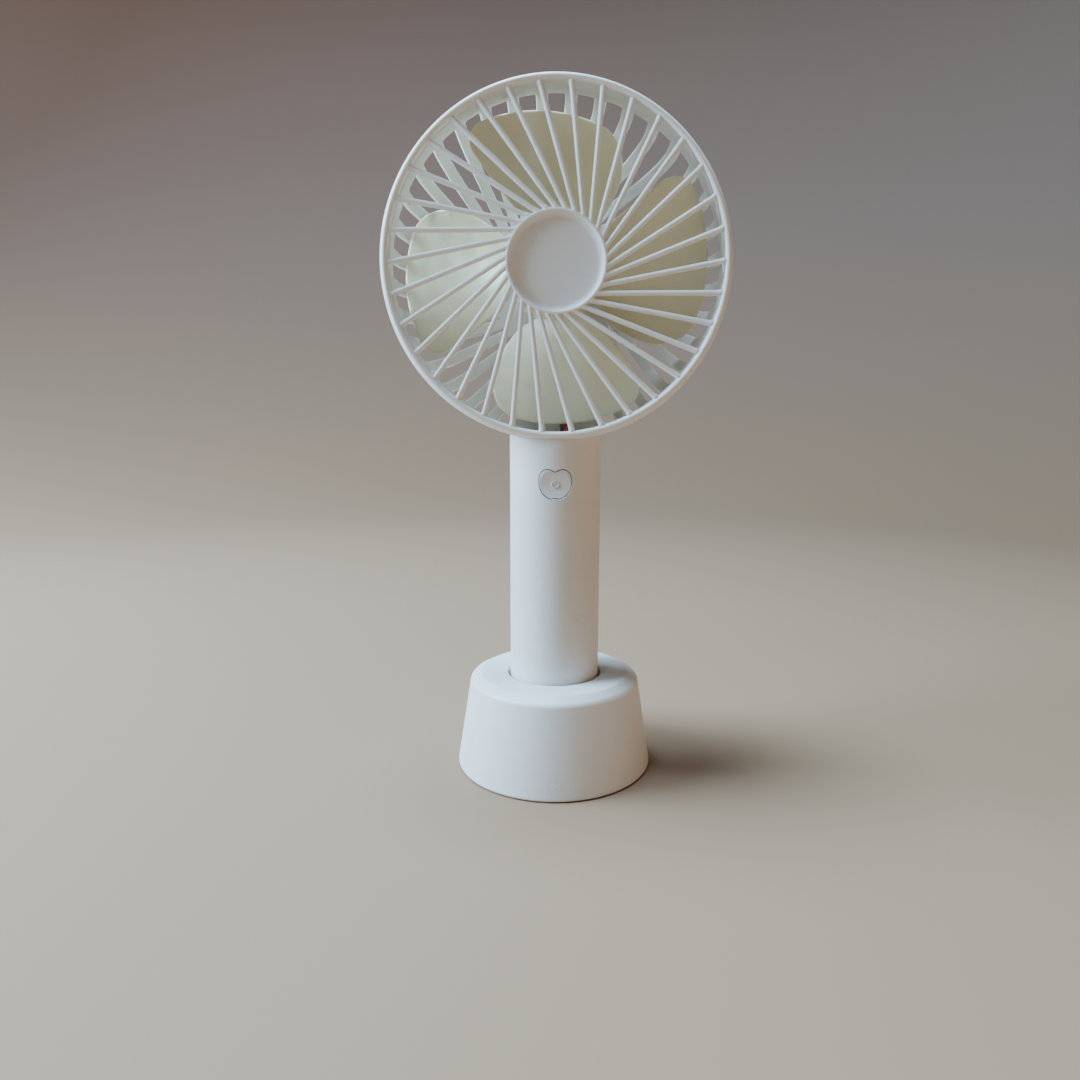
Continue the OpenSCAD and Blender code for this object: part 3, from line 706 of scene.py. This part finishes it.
def housing_bar(angle):
    return wall_strip(
        SLOT_IN - BAR_SUNK, 4,
        lambda r, z: bar_angle(angle, r, -bar_half(r, z)),
        lambda r, z: bar_angle(angle, r, bar_half(r, z)),
    )


def handle_patch():
    """Whole side wall over the handle, between the bars at either side of it."""
    reach = 1.5 * 360 / BAR_COUNT
    return wall_strip(
        SLOT_OVER_HANDLE, 40,
        lambda r, z: bar_angle(180 - reach, r, 0),
        lambda r, z: bar_angle(180 + reach, r, 0),
    )


def housing_band():
    """Plain front band of the side wall."""
    inner = DRUM_R - WALL
    front = RING_BACK - 0.1
    outline = rounded([
        (DRUM_R, SLOT_FRONT, 0.3), (DRUM_R, front, 0.3),
        (inner, front, 0.15), (inner, SLOT_FRONT, 0.3),
    ])
    return revolved(outline, 288)


def housing_hub():
    """Plain middle of the back with its framing groove, and the cup round the motor."""
    outer = DOME_REACH + CORNER_R
    inner = outer - WALL

    def dome(r, radius):
        return (r, DOME_Z - math.sqrt(radius * radius - r * r))

    groove = HUB_R + 0.4
    outside = [dome(r, outer) for r in np.linspace(0, groove - 1.2, 9)]
    for r in np.linspace(-0.8, 0.8, 13):
        x, z = dome(groove + r, outer)
        outside.append((x, z + 0.32 * math.cos(math.pi * r / 1.6) ** 2))
    outside += [dome(r, outer) for r in np.linspace(groove + 1.2, SLOT_IN - 0.3, 5)]
    edge = rounded([
        (*dome(SLOT_IN - 2, outer), 0), (*dome(SLOT_IN, outer), 0.3),
        (*dome(SLOT_IN, inner), 0.3), (*dome(SLOT_IN - 2, inner), 0),
    ])[1:-1]
    cup_front, cup_out, cup_in = -10, 13.7, 12.3
    inside = [dome(cup_out, inner), (cup_out, cup_front - 0.3), (cup_out - 0.3, cup_front)]
    inside += [(cup_in + 0.3, cup_front), (cup_in, cup_front - 0.3), dome(cup_in, inner)]
    inside += [dome(r, inner) for r in (9, 6, 3, 0)]
    return revolved(outside + edge + inside, 192)


def drum_radius(z, grow=0.0):
    """Outer radius of the housing at a depth in the head frame."""
    radius = CORNER_R + grow
    if z >= CORNER_Z:
        return DRUM_R + grow
    return CORNER_C + math.sqrt(max(0.0, radius * radius - (z - CORNER_Z) ** 2))


# ---- Handle shells: a flat sheet with holes, rolled round the handle's axis ----

class Sheet:
    """Unrolled faces (u round the handle, v up) with each point's distance to the nearest hole."""

    FAR = 99.0

    def __init__(self):
        self.index = {}
        self.points = []
        self.faces = []

    def point(self, u, v, hole=FAR):
        key = (round(u, 4), round(v, 4))
        if key not in self.index:
            self.index[key] = len(self.points)
            self.points.append([u, v, hole])
        i = self.index[key]
        self.points[i][2] = min(self.points[i][2], hole)
        return i

    def grid(self, rows):
        """Quads between rows of (u, v) points."""
        ids = [[self.point(u, v) for u, v in row] for row in rows]
        for low, high in zip(ids, ids[1:]):
            for k in range(len(low) - 1):
                self.faces.append((low[k], low[k + 1], high[k + 1], high[k]))

    def patch(self, us, vs, centre, outline):
        """Rings from a rectangle's border to a hole; outline turns a direction into a point."""
        border = [(u, vs[0]) for u in us[:-1]] + [(us[-1], v) for v in vs[:-1]]
        border += [(u, vs[-1]) for u in us[:0:-1]] + [(us[0], v) for v in vs[:0:-1]]
        border = np.array(border, float)
        turn = np.arctan2(border[:, 1] - centre[1], border[:, 0] - centre[0])
        rim = np.array([outline(t) for t in turn]) + centre
        tangent = np.roll(rim, -1, 0) - np.roll(rim, 1, 0)
        away = np.column_stack([tangent[:, 1], -tangent[:, 0]])
        away /= np.linalg.norm(away, axis=1)[:, None]
        near = [0, 0.03, 0.07, 0.12, 0.18, 0.26, 0.36]
        rings = [(rim + away * d, d) for d in near]
        start = rings[-1][0]
        for t in (0.12, 0.28, 0.46, 0.64, 0.82, 1.0):
            rings.append((start + (border - start) * t, near[-1] + 0.5 * t))
        ids = [[self.point(u, v, d) for u, v in ring] for ring, d in rings[:-1]]
        ids.append([self.point(u, v) for u, v in border])
        count = len(border)
        for inner, outer in zip(ids, ids[1:]):
            for k in range(count):
                m = (k + 1) % count
                self.faces.append((inner[k], inner[m], outer[m], outer[k]))

    def solid(self, depth, back_depth, roll, inner_top):
        """Closed solid: outer skin at depth(u, v, hole), inner skin at back_depth, and walls."""
        count = len(self.points)
        outer = [roll(u, v, depth(u, v, hole)) for u, v, hole in self.points]
        inner = [roll(u, min(v, inner_top(u)), back_depth) for u, v, hole in self.points]
        uses = {}
        for f in self.faces:
            for a, b in zip(f, f[1:] + f[:1]):
                uses.setdefault((min(a, b), max(a, b)), []).append((a, b))
        walls = [(b, a, a + count, b + count) for (a, b), *more in uses.values() if not more]
        back = [tuple(i + count for i in f[::-1]) for f in self.faces]
        return outer + inner, self.faces + walls + back


def star(points):
    """Closed outline round the middle as a function from a direction to a point."""
    points = np.asarray(points, float)
    turns = np.arctan2(points[:, 1], points[:, 0])
    order = np.argsort(turns)
    turns, reach = turns[order], np.linalg.norm(points, axis=1)[order]
    full = 2 * math.pi
    turns = np.concatenate([turns[-1:] - full, turns, turns[:1] + full])
    reach = np.concatenate([reach[-1:], reach, reach[:1]])

    def point(turn):
        turn = (turn + math.pi) % full - math.pi
        r = np.interp(turn, turns, reach)
        return np.array([r * math.cos(turn), r * math.sin(turn)])

    return point


def button_outline(grow):
    """The key's two-lobed outline, seen from the front: the union of circles (x, z, radius)."""
    circles = [(side * x, z, r + grow) for side in (-1, 1) for x, z, r in KEY_LOBES]
    angles = np.radians(np.arange(0, 360, 1.0))
    reach = np.zeros(len(angles))
    for x, z, r in circles:
        along = x * np.cos(angles) + z * np.sin(angles)
        off = r * r - (x * x + z * z - along * along)
        reach = np.maximum(reach, np.where(off > 0, along + np.sqrt(np.clip(off, 0, None)), 0))
    for _ in range(2):
        reach = (np.roll(reach, 1) + 2 * reach + np.roll(reach, -1)) / 4
    return star(np.column_stack([reach * np.cos(angles), reach * np.sin(angles)]))


def circle_outline(radius):
    return lambda turn: np.array([radius * math.cos(turn), radius * math.sin(turn)])


def slot_outline(half_w, half_h, corner):
    """Rectangle with rounded corners."""
    signs = ((1, 1), (-1, 1), (-1, -1), (1, -1))
    ring = np.array(rounded([(sx * half_w, sy * half_h, corner) for sx, sy in signs], 12))
    t = np.linspace(0, 1, 40, endpoint=False)[:, None]
    return star(np.vstack([a + (b - a) * t for a, b in zip(ring, np.roll(ring, -1, 0))]))


def handle_sheet(top, patches, half_u):
    """The unrolled half shell; patches are (low v, high v, centre v, outline), upwards."""
    sheet = Sheet()
    near = np.array([0, 0.03, 0.07, 0.12, 0.19, 0.28, 0.5])
    left = np.concatenate([-SEAM + near, np.linspace(-SEAM + 1.2, -half_u, 12)])
    middle = np.linspace(-half_u, half_u, 25)
    every = np.concatenate([left[:-1], middle, -left[-2::-1]])
    v = HANDLE_LOW
    for low, high, centre, outline in patches:
        lines = np.linspace(v, low, max(2, int((low - v) / 2.2)))
        if v == HANDLE_LOW:
            first = v + near[v + near < low - 0.1]
            lines = np.concatenate([first, lines[lines > first[-1] + 0.1]])
        if low > v:
            sheet.grid([[(u, line) for u in every] for line in lines])
        rows = np.linspace(low, high, 17)
        sheet.grid([[(u, line) for u in left] for line in rows])
        sheet.grid([[(-u, line) for u in left[::-1]] for line in rows])
        sheet.patch(middle, rows, np.array([0.0, centre]), outline)
        v = high
    share = 1 - np.array([1, 0.75, 0.5, 0.3, 0.14, 0.08, 0.045, 0.02, 0.0])
    sheet.grid([[(u, v + (top(u) - v) * t) for u in every] for t in share])
    return sheet


def rolled(front, half_u):
    """Rolls the flat sheet round the handle; walls of the holes stay parallel to the depth axis."""
    def roll(u, v, h):
        a = u / HANDLE_R
        straight = math.asin(max(-1.0, min(1.0, HANDLE_R * math.sin(a) / (HANDLE_R - h))))
        share = min(1.0, max(0.0, (abs(u) - half_u) / 4))
        a = straight + (a - straight) * share
        return (front * (HANDLE_R - h) * math.sin(a), -front * (HANDLE_R - h) * math.cos(a), v)

    return roll


def round_handle(u, h):
    """Side and depth of a place in the handle's wall, from its axis."""
    return (HANDLE_R - h) * math.sin(u / HANDLE_R), (HANDLE_R - h) * math.cos(u / HANDLE_R)


def front_top(u, h=0.0):
    """Upper edge of the front shell at a depth in its wall: along the drum, then the ring."""
    x, z = round_handle(u, h)
    blend = min(1.0, max(0.0, (z - RING_BACK + 0.3) / 0.3))
    radius = DRUM_R + (ring_side(z) - DRUM_R) * blend + 0.03
    return HEAD_Z - math.sqrt(radius * radius - x * x)


def seam_drop(u, v):
    """How far a half shell's skin drops near its seam and its lower edge."""
    return fillet(min(SEAM - abs(u), v - HANDLE_LOW), SEAM_ROUND)


def build_front_shell():
    outline = button_outline(KEY_GAP)
    patches = [(BUTTON_Z - KEY_HALF, BUTTON_Z + KEY_HALF, BUTTON_Z, outline)]
    sheet = handle_sheet(front_top, patches, KEY_HALF)

    def depth(u, v, hole):
        return max(seam_drop(u, v), fillet(hole, KEY_EDGE))

    solid = sheet.solid(depth, WALL, rolled(1, KEY_HALF), lambda u: front_top(u, WALL))
    obj = make_piece("front_handle_shell", [solid], "fan", "shell_white", "front_shell")
    deep = HANDLE_R - KEY_EDGE - 0.1
    # the walls of the key's hole get the painted shade
    shade_gap(obj, lambda c, n: math.hypot(c.x, c.z - BUTTON_Z) < 6 and math.hypot(c.x, c.y) < deep)


def rear_top(u, grow, h=0.0):
    """Where the rear half of the handle meets the drum's form, grown by a margin."""
    x, y = round_handle(u, h)
    radius = drum_radius(-y, grow)
    return HEAD_Z - math.sqrt(radius * radius - x * x)


def rear_half():
    """Rear half of the handle with its screw holes, charging port and light window."""
    screw = circle_outline(2.1)
    patches = [
        (HANDLE_LOW + 0.4, 13.6, CASE_SCREWS[0], screw),
        (PORT_Z - REAR_HALF, PORT_Z + REAR_HALF, PORT_Z, slot_outline(4.2, 1.75, 0.7)),
        (91.4, 97.4, LED_Z, circle_outline(1.08)),
        (97.4, 102.9, CASE_SCREWS[1], screw),
    ]
    sunk = -0.8
    sheet = handle_sheet(lambda u: rear_top(u, sunk), patches, REAR_HALF)

    def depth(u, v, hole):
        flare = fillet(rear_top(u, 0.0) - v, 0.9) if SEAM - abs(u) > 0.3 else 0
        return max(seam_drop(u, v), fillet(hole, 0.3)) - flare

    return sheet.solid(depth, WALL, rolled(-1, REAR_HALF), lambda u: rear_top(u, sunk, WALL))


def screw_post(z):
    """Tube behind a screw hole, with the seat that the screw's head presses on."""
    outer = HANDLE_R - 0.9
    outline = rounded([
        (2.1, outer, 0), (2.1, 8, 0.15), (1.1, 8, 0.1), (1.1, 4, 0), (2.6, 4, 0.2), (2.6, outer, 0),
    ])
    return placed(revolved(outline, 48), along_y(0, 0, z))


def build_housing():
    pitch = 360 / BAR_COUNT
    obj = object_from("rear_housing_moulding", [placed(housing_band(), to_head)])
    parts = [housing_hub(), handle_patch()]
    parts += [housing_bar((i + 0.5) * pitch) for i in range(BAR_COUNT)]
    boolean(obj, [placed(s, to_head) for s in parts], "UNION")
    foot = HEAD_Z - DRUM_R
    wire_way = block((0.8, -2.2, foot - 1), (4.8, 2.2, foot + 5))
    boolean(obj, [wire_way], "DIFFERENCE")
    boolean(obj, [rear_half()] + [screw_post(z) for z in CASE_SCREWS], "UNION")
    finish_piece(obj, "fan", "shell_white", "rear_housing")


def block(low, high):
    """Plain cutting block between two corners."""
    (x0, y0, z0), (x1, y1, z1) = low, high
    ring = [(x0, y0), (x1, y0), (x1, y1), (x0, y1)]
    return lofted([[(x, y, z) for x, y in ring] for z in (z0, z1)])


# ---- Impeller ----

def corner_pull(r, corner):
    """Angle by which a rounded corner pulls the blade's edge in at radius r."""
    along_tip, along_edge = corner
    over = np.clip((r - BLADE_R + along_edge) / along_edge, 0, 1)
    return np.degrees(along_tip * (1 - np.sqrt(1 - over * over)) / BLADE_R)


def blade_half_angle(r):
    t = min(1.0, (r - BLADE_ROOT) / (BLADE_FULL - BLADE_ROOT))
    return BLADE_ROOT_HALF + (BLADE_HALF - BLADE_ROOT_HALF) * t * (2 - t)


def blade(middle):
    """Helical blade with rounded corners and edges, thicker at its root."""
    rows, edge = 44, 0.75
    near = np.array([0, 0.02, 0.06, 0.13, 0.24, 0.42, 0.75, 1.2])
    radii = BLADE_ROOT + (BLADE_R - BLADE_ROOT) * np.sin(np.radians(np.linspace(0, 90, rows + 1)))
    front, back = [], []
    for r in radii:
        a0 = -blade_half_angle(r) + corner_pull(r, FRONT_CORNER)
        a1 = blade_half_angle(r) - corner_pull(r, REAR_CORNER)
        step = np.degrees(near / r)
        inner = np.linspace(a0 + step[-1], a1 - step[-1], 30)[1:-1]
        angles = np.concatenate([a0 + step, inner, a1 - step[::-1]])
        inset = np.minimum(np.radians(angles - a0), np.radians(a1 - angles)) * r
        inset = np.minimum(inset, BLADE_R - r)
        left = np.clip(1 - inset / edge, 0, 1)
        half = BLADE_T / 2 * np.sqrt(1 - left**2)
        half = half + 0.7 * math.exp(-max(0.0, r - SKIRT_R) / 0.8) * np.clip(inset / 1.5, 0, 1)
        p = clock(r, middle + angles)
        z = BLADE_MID - BLADE_LEAD * angles
        front.append(np.column_stack([p, z + half]))
        back.append(np.column_stack([p, z - half]))
    rings = [np.vstack([f, b[::-1]]) for f, b in zip(front, back)]
    return lofted(rings)


def build_impeller():
    outline = rounded([
        (0, 6.5, 0), (SKIRT_R, 6.5, 1.3), (SKIRT_R, -9.3, 0.25), (12.9, -9.3, 0.2),
        (12.9, 5.0, 0.8), (3.2, 5.0, 0.4), (3.2, -0.2, 0.2),
        (1.0, -0.2, 0), (1.0, 4.4, 0), (0, 4.4, 0),
    ])
    obj = object_from("impeller_moulding", [placed(revolved(outline, 144), to_head)])
    blades = [blade(i * 360 / BLADE_COUNT) for i in range(BLADE_COUNT)]
    boolean(obj, [placed(b, to_head) for b in blades], "UNION")
    finish_piece(obj, "rotor", "blade_cream", "impeller", 50)


# ---- Power key ----

KEY_R = HANDLE_R - 0.05
KEY_LIP_R = 12.0
KEY_DISH = 0.85
KEY_BOWL = (4.7, 4.5)
KEY_EDGE = 0.16
KEY_BACK = -10.2
KEY_INSETS = [0, 0.02, 0.05, 0.09, 0.14, 0.2, 0.28, 0.4, 0.6]
KEY_INSETS += [0.85, 1.1, 1.4, 1.75, 2.1, 2.5, 2.9, 3.3]


def key_face(x, z, inset):
    """Depth of the key's face: the handle's curve with a bowl pressed in, and a rounded edge."""
    bowl = KEY_DISH * (1 - (x / KEY_BOWL[0]) ** 2 - (z / KEY_BOWL[1]) ** 2)
    bowl = (bowl + np.sqrt(bowl * bowl + 0.004)) / 2
    return bowl - np.sqrt(KEY_R * KEY_R - x * x) + fillet(inset, KEY_EDGE)


def key_body():
    """The key with its dished face, and the lip that holds it behind the handle's wall."""
    turns = np.radians(np.arange(0, 360, 2.5))
    rim, wide = (np.array([button_outline(grow)(t) for t in turns]) for grow in (0.0, 0.9))
    size = np.linalg.norm(rim, axis=1)
    lip = -np.sqrt(KEY_LIP_R**2 - wide[:, 0] ** 2)
    stages = [(rim, KEY_BACK), (wide, KEY_BACK), (wide, lip + 0.1)]
    stages += [(wide * 0.99, lip), (rim * 1.01, lip), (rim, lip - 0.1)]
    for inset in KEY_INSETS:
        flat = rim * np.clip((size - inset) / size, 0.02, 1)[:, None]
        stages.append((flat, key_face(flat[:, 0], flat[:, 1], inset)))
    stages.append((rim * 0.01, stages[-1][1].mean()))
    rings = [np.column_stack([f[:, 0], np.full(len(f), y), f[:, 1] + BUTTON_Z]) for f, y in stages]
    return lofted(rings)


def key_stem():
    radius, front, back = 2.0, KEY_BACK - 0.1, BUTTON_HIGH[1]
    outline = rounded([(0, front, 0), (radius, front, 0), (radius, back, 0.2), (0, back, 0)])
    return placed(revolved(outline, 48), along_y(0, 0, BUTTON_Z))


def raised_line(points, width=0.15, height=0.3):
    """Rounded bead along points on the key's face."""
    points = np.asarray(points, float)
    y = key_face(points[:, 0], points[:, 1], np.full(len(points), 3.0))
    path = np.column_stack([points[:, 0], y - height / 2 + 0.05, points[:, 1] + BUTTON_Z])
    ends = np.minimum(np.arange(len(path)), np.arange(len(path))[::-1])
    size = width * np.sqrt(np.clip(1 - (1 - np.clip(ends / 3, 0, 1)) ** 2, 0.05, 1))
    return swept(path, size, 12)


def build_key():
    """Two-lobed key with a generic on/off symbol standing on its face."""
    ring = [(math.cos(t), math.sin(t)) for t in np.radians(np.linspace(122, 418, 40))]
    bar = [(0, z) for z in np.linspace(0.1, 1.25, 12)]
    solids = [key_body(), key_stem(), raised_line(ring), raised_line(bar)]
    obj = make_piece("power_key", solids, "button", "button_white", "power_button", 45)

    def in_joint(c, n):
        return math.hypot(c.x, c.z - BUTTON_Z) > 2 and (n.y > -0.35 or c.y > -12.3)

    # the key's side walls and its lip get the painted shade
    shade_gap(obj, in_joint)


# ---- Handle end, port, light window and screws ----

def build_end_cap():
    low, high = CAP_LOW[2], CAP_HIGH[2]
    inner = HANDLE_R - WALL
    outline = rounded([
        (0, low + 0.3, 0), (HANDLE_R - 3.2, low + 0.3, 0.3), (HANDLE_R - 2.8, low, 0.2),
        (HANDLE_R, low, 0.9), (HANDLE_R, HANDLE_LOW - 0.02, 0.2),
        (inner - 0.1, HANDLE_LOW - 0.02, 0.05), (inner - 0.1, high, 0.2),
        (inner - 1.4, high, 0.2), (inner - 1.4, HANDLE_LOW, 0.2), (0, HANDLE_LOW, 0),
    ])
    make_piece("handle_end_cap", [revolved(outline, 144)], "fan", "shell_white", "end_cap")


def port_outline(grow):
    """Section of the charging port: flat top, chamfered lower corners, all slightly rounded."""
    g = grow
    return rounded([
        (3.75 + g, 1.35 + g, 0.45), (-3.75 - g, 1.35 + g, 0.45),
        (-3.75 - g, -0.3 - 0.4 * g, 0.4), (-2.7 - 0.4 * g, -1.35 - g, 0.4),
        (2.7 + 0.4 * g, -1.35 - g, 0.4), (3.75 + g, -0.3 - 0.4 * g, 0.4),
    ], 6)


def build_port():
    """Folded steel shell of the charging port, open to the back, with a rolled lip."""
    low, high = box_mm("usb_shell")
    y0, y1 = low[1], high[1]

    def ring(grow, y):
        return [(x, y, z + PORT_Z) for x, z in port_outline(grow)]

    lip = ((0, 0.2), (-0.02, 0.08), (-0.09, 0), (-0.19, 0), (-0.26, 0.08), (-0.28, 0.2))
    rings = [ring(0, y0), *(ring(grow, y1 - back) for grow, back in lip), ring(-0.28, y0 + 1.0)]
    make_piece("charging_port_shell", [lofted(rings)], "fan", "port_steel", "usb_shell")


def build_light_pipe():
    low, high = box_mm("light_pipe")
    y0, y1 = low[1], high[1]
    outline = rounded([
        (0, y0, 0), (1.0, y0, 0.1), (1.0, 10.2, 0), (1.9, 10.2, 0.15),
        (1.9, 11.6, 0.15), (1.0, 11.6, 0), (1.0, y1, 0.35), (0, y1, 0),
    ])
    pipe = placed(revolved(outline, 48), along_y(0, 0, LED_Z))
    make_piece("light_window", [pipe], "fan", "led_clear", "light_pipe")


def screw_solid(head_h, length):
    """Tapping screw about z, head up at zero: a pan head and a thread of turned ridges."""
    head_r, shank, pitch = 1.9, 0.95, 0.8
    core = shank * 0.82
    outline = [(0, 0, 0), (head_r, -0.05, 0.45), (head_r, -head_h, 0.1), (core, -head_h, 0.1)]
    for i in range(int((length - head_h - 1.2) / pitch)):
        z = -head_h - 0.5 - i * pitch
        outline += [(core, z, 0), (shank, z - pitch / 2, 0.05)]
    outline += [(shank * 0.8, -length + 0.9, 0), (0, -length, 0)]
    return revolved(rounded(outline, 4), 48)


def cross_cutter(reach, width, depth):
    """Tapered cross recess for a screw's head, its top above zero."""
    solids = []
    signs = ((-1, -1), (1, -1), (1, 1), (-1, 1))
    for turn in (0, 90):
        rings = []
        for z, s in ((0.4, 1.12), (-depth, 0.72)):
            c, n = math.cos(math.radians(turn)), math.sin(math.radians(turn))
            ring = [(sx * reach * s, sy * width * s) for sx, sy in signs]
            rings.append([(x * c - y * n, x * n + y * c, z) for x, y in ring])
        solids.append(lofted(rings))
    return solids


def build_screws(name, node, body, moves, head_h, length):
    """A set of identical screws, each moved into place by its own function."""
    one = object_from("screw_blank", [screw_solid(head_h, length)])
    boolean(one, cross_cutter(1.1, 0.24, 0.85), "DIFFERENCE")
    points = np.array([v.co for v in one.data.vertices]) / MM
    faces = [tuple(p.vertices) for p in one.data.polygons]
    bpy.data.objects.remove(one)
    solids = [placed((points, faces), move) for move in moves]
    make_piece(name, solids, body, "screw_steel", node, 30)


def build_case_screws():
    """Two screws that close the handle, their heads in the counterbores of the rear half."""
    low, high = box_mm("case_screws")
    moves = [along_y(high[1], 0, z) for z in CASE_SCREWS]
    build_screws("handle_screws", "case_screws", "fan", moves, 1.3, high[1] - low[1])


def build_dock_screws():
    """Three screws under the dock, pointing up."""
    low, high = box_mm("base_screws")

    def upright(x, y):
        return lambda p: np.column_stack([p[:, 0] + x, -p[:, 1] + y, -p[:, 2] + low[2]])

    moves = [upright(x, y) for x, y in DOCK_SCREWS]
    build_screws("dock_screws", "base_screws", "dock", moves, 1.28, high[2] - low[2])


def build_wires():
    """The insulated wires of the motor and the cell, as rigid tubes along their routes."""
    for node, route in WIRES.items():
        slot = "wire_" + node.rsplit("_", 1)[1]
        make_piece(f"{node}_tube", [swept(smooth_route(route), WIRE_R)], "fan", slot, node)


# ---- Dock ----

def dock_outline():
    """Section of the dock: tapered side, soft bevel, flat top, rounded socket mouth and floor."""
    low = DOCK_LOW[2]
    wall = 1.9
    high_r = DOCK_R - 4
    under = SOCKET_FLOOR - wall
    outline = [(0, under), (SOCKET_R + 1.7, under), (SOCKET_R + 1.7, DOCK_H - wall)]
    outline += [(high_r - 3.5, DOCK_H - wall), (high_r - 2.1, DOCK_H - 3.6), (DOCK_R - wall, low)]
    outline += arc((DOCK_R - 0.8, low + 0.8), 0.8, -90, 8, 10)
    outline += arc((high_r - 2, DOCK_H - 3), 2, 8, 55, 14)
    outline += arc((high_r - 3.7, DOCK_H - 1.2), 1.2, 60, 90, 8)
    outline += arc((SOCKET_R + 0.8, DOCK_H - 0.8), 0.8, 90, 180, 10)
    outline += arc((SOCKET_R - 0.6, SOCKET_FLOOR + 0.6), 0.6, 0, -90, 6)
    return outline + [(0, SOCKET_FLOOR)]


def at_dock_screws(outline):
    """A turned solid at each of the dock's three screws."""
    solid = revolved(outline, 48)
    return [placed(solid, lambda p, x=x, y=y: p + (x, y, 0)) for x, y in DOCK_SCREWS]


def build_dock_shell():
    top = DOCK_H - 1.0
    post = rounded([(0.97, 2.8, 0.1), (2.4, 2.8, 0.3), (2.4, top, 0), (0.97, top, 0)])
    solids = [revolved(dock_outline(), 240), *at_dock_screws(post)]
    make_piece("dock_shell", solids, "dock", "shell_white", "base_shell")


def build_dock_plate():
    low, high = PLATE_LOW[2], PLATE_HIGH[2]
    radius = PLATE_HIGH[0]
    r_out, r_in = DOCK_R - 2.8, DOCK_R - 6.6
    outline = rounded([
        (0, low, 0), (r_in, low, 0.15), (r_in, low + 0.6, 0.1), (r_out, low + 0.6, 0.1),
        (r_out, low, 0.15), (radius, low, 0.3), (radius, high, 0.3), (0, high, 0),
    ])
    obj = object_from("dock_plate", [revolved(outline, 192)])
    hole = [(0, -1), (2.5, -1), (2.3, 1.9), (1.15, 1.9), (1.15, 4), (0, 4)]
    boolean(obj, at_dock_screws(hole), "DIFFERENCE")
    finish_piece(obj, "dock", "shell_white", "base_plate")


def build_foot_ring():
    """Soft ring with two fine grip grooves in its underside."""
    low, high = FOOT_LOW[2], FOOT_HIGH[2]
    outer = FOOT_HIGH[0]
    inner = outer - 3.4
    corners = [(inner, high, 0.15), (inner, low, 0.3)]
    for r in (inner + 1.2, inner + 2.2):
        corners += [(r - 0.25, low, 0.08), (r, low + 0.25, 0.08), (r + 0.25, low, 0.08)]
    corners += [(outer, low, 0.3), (outer, high, 0.15)]
    ring = revolved(rounded(corners), 192)
    make_piece("dock_foot_ring", [ring], "dock", "foot_rubber", "foot_ring")


# ---- Stage, light and camera ----

def build_stage():
    """Pale round floor that sweeps up on every side into a plain, slightly darker backdrop."""
    far, height, bend, steps = 1.3, 2.4, 0.7, 128
    outline = [(0.02, 0.0), (far - bend, 0.0)]
    outline += arc((far - bend, bend), bend, -90, 0, 32)[1:] + [(far, height)]
    turns = np.radians(np.arange(steps) * 360 / steps)
    points = [(r * math.sin(t), r * math.cos(t), z) for r, z in outline for t in turns]
    faces = grid_faces(len(outline), steps, False, True) + [tuple(range(steps))]
    mesh = bpy.data.meshes.new("studio_floor")
    mesh.from_pydata(points, [], faces)
    mesh.shade_smooth()
    floor = linked("studio_floor", mesh)
    f = Finish("studio_paper")
    pale = f.mix(f.noise(3, 2), rgb(0.27, 0.168, 0.10), rgb(0.285, 0.178, 0.107))
    up = f.node("ShaderNodeSeparateXYZ", {"Vector": f.place}).outputs["Z"]
    tone = f.mix(f.ramp(up, 0.0, 0.45), pale, rgb(0.26, 0.182, 0.14))
    grain = f.bump(f.noise(900, 2), 0.00002, 0.3)
    mesh.materials.append(f.set(Base_Color=tone, Roughness=0.85, Normal=grain))


def area_light(name, place, target, size, power, colour):
    lamp = bpy.data.lights.new(name, "AREA")
    lamp.shape = "RECTANGLE"
    lamp.size, lamp.size_y = size
    lamp.energy = power
    lamp.color = colour
    obj = linked(name, lamp)
    obj.location = place
    obj.rotation_euler = (Vector(target) - Vector(place)).to_track_quat("-Z", "Y").to_euler()


def build_lights():
    """Cool light from the left and above, weak warm light on the right, and a weak cool sky."""
    middle = (0, 0, 0.13)
    area_light("window_left", (-0.78, -0.04, 0.50), middle, (0.5, 0.6), 30, (0.47, 0.72, 1.0))
    area_light("window_high", (-0.35, -0.45, 0.85), middle, (0.16, 0.16), 0.8, (0.75, 0.88, 1.0))
    area_light("sky_top", (-0.15, 0.05, 0.95), middle, (0.3, 0.3), 22, (0.52, 0.77, 1.0))
    area_light("warm_right", (0.8, -0.02, 0.13), middle, (0.5, 0.16), 0.5, (1.0, 0.38, 0.02))
    area_light("warm_low", (0.3, -0.35, 0.05), middle, (0.3, 0.06), 0.16, (1.0, 0.42, 0.06))
    backdrop = (-0.8, 1.3, 0.5)
    area_light("backdrop_left", (-0.5, 0.35, 0.9), backdrop, (1.0, 0.7), 4, (0.8, 0.84, 1.0))
    world = bpy.data.worlds.new("studio")
    world.use_nodes = True
    sky = world.node_tree.nodes["Background"].inputs
    sky[0].default_value = (0.55, 0.78, 1.0, 1)
    sky[1].default_value = 0.10
    bpy.context.scene.world = world


def build_camera():
    """Camera a little below the head's middle, close to the fan, looking slightly down."""
    data = bpy.data.cameras.new("camera")
    data.sensor_width = 36
    data.lens = 24.72
    data.shift_x = -0.0139
    data.shift_y = -0.0129
    data.clip_start = 0.01
    obj = linked("camera", data)
    tilt, roll = math.radians(90 - 8.4), math.radians(0.30)
    turn = Matrix.Rotation(tilt, 4, "X") @ Matrix.Rotation(roll, 4, "Z")
    obj.matrix_world = Matrix.Translation((0, -0.230, 0.11009)) @ turn
    bpy.context.scene.camera = obj


build_finishes()
build_camera()
build_stage()
build_lights()
finish_inner_nodes()
build_grille()
build_housing()
build_front_shell()
build_end_cap()
build_impeller()
build_key()
build_port()
build_light_pipe()
build_case_screws()
build_wires()
build_dock_shell()
build_dock_plate()
build_foot_ring()
build_dock_screws()
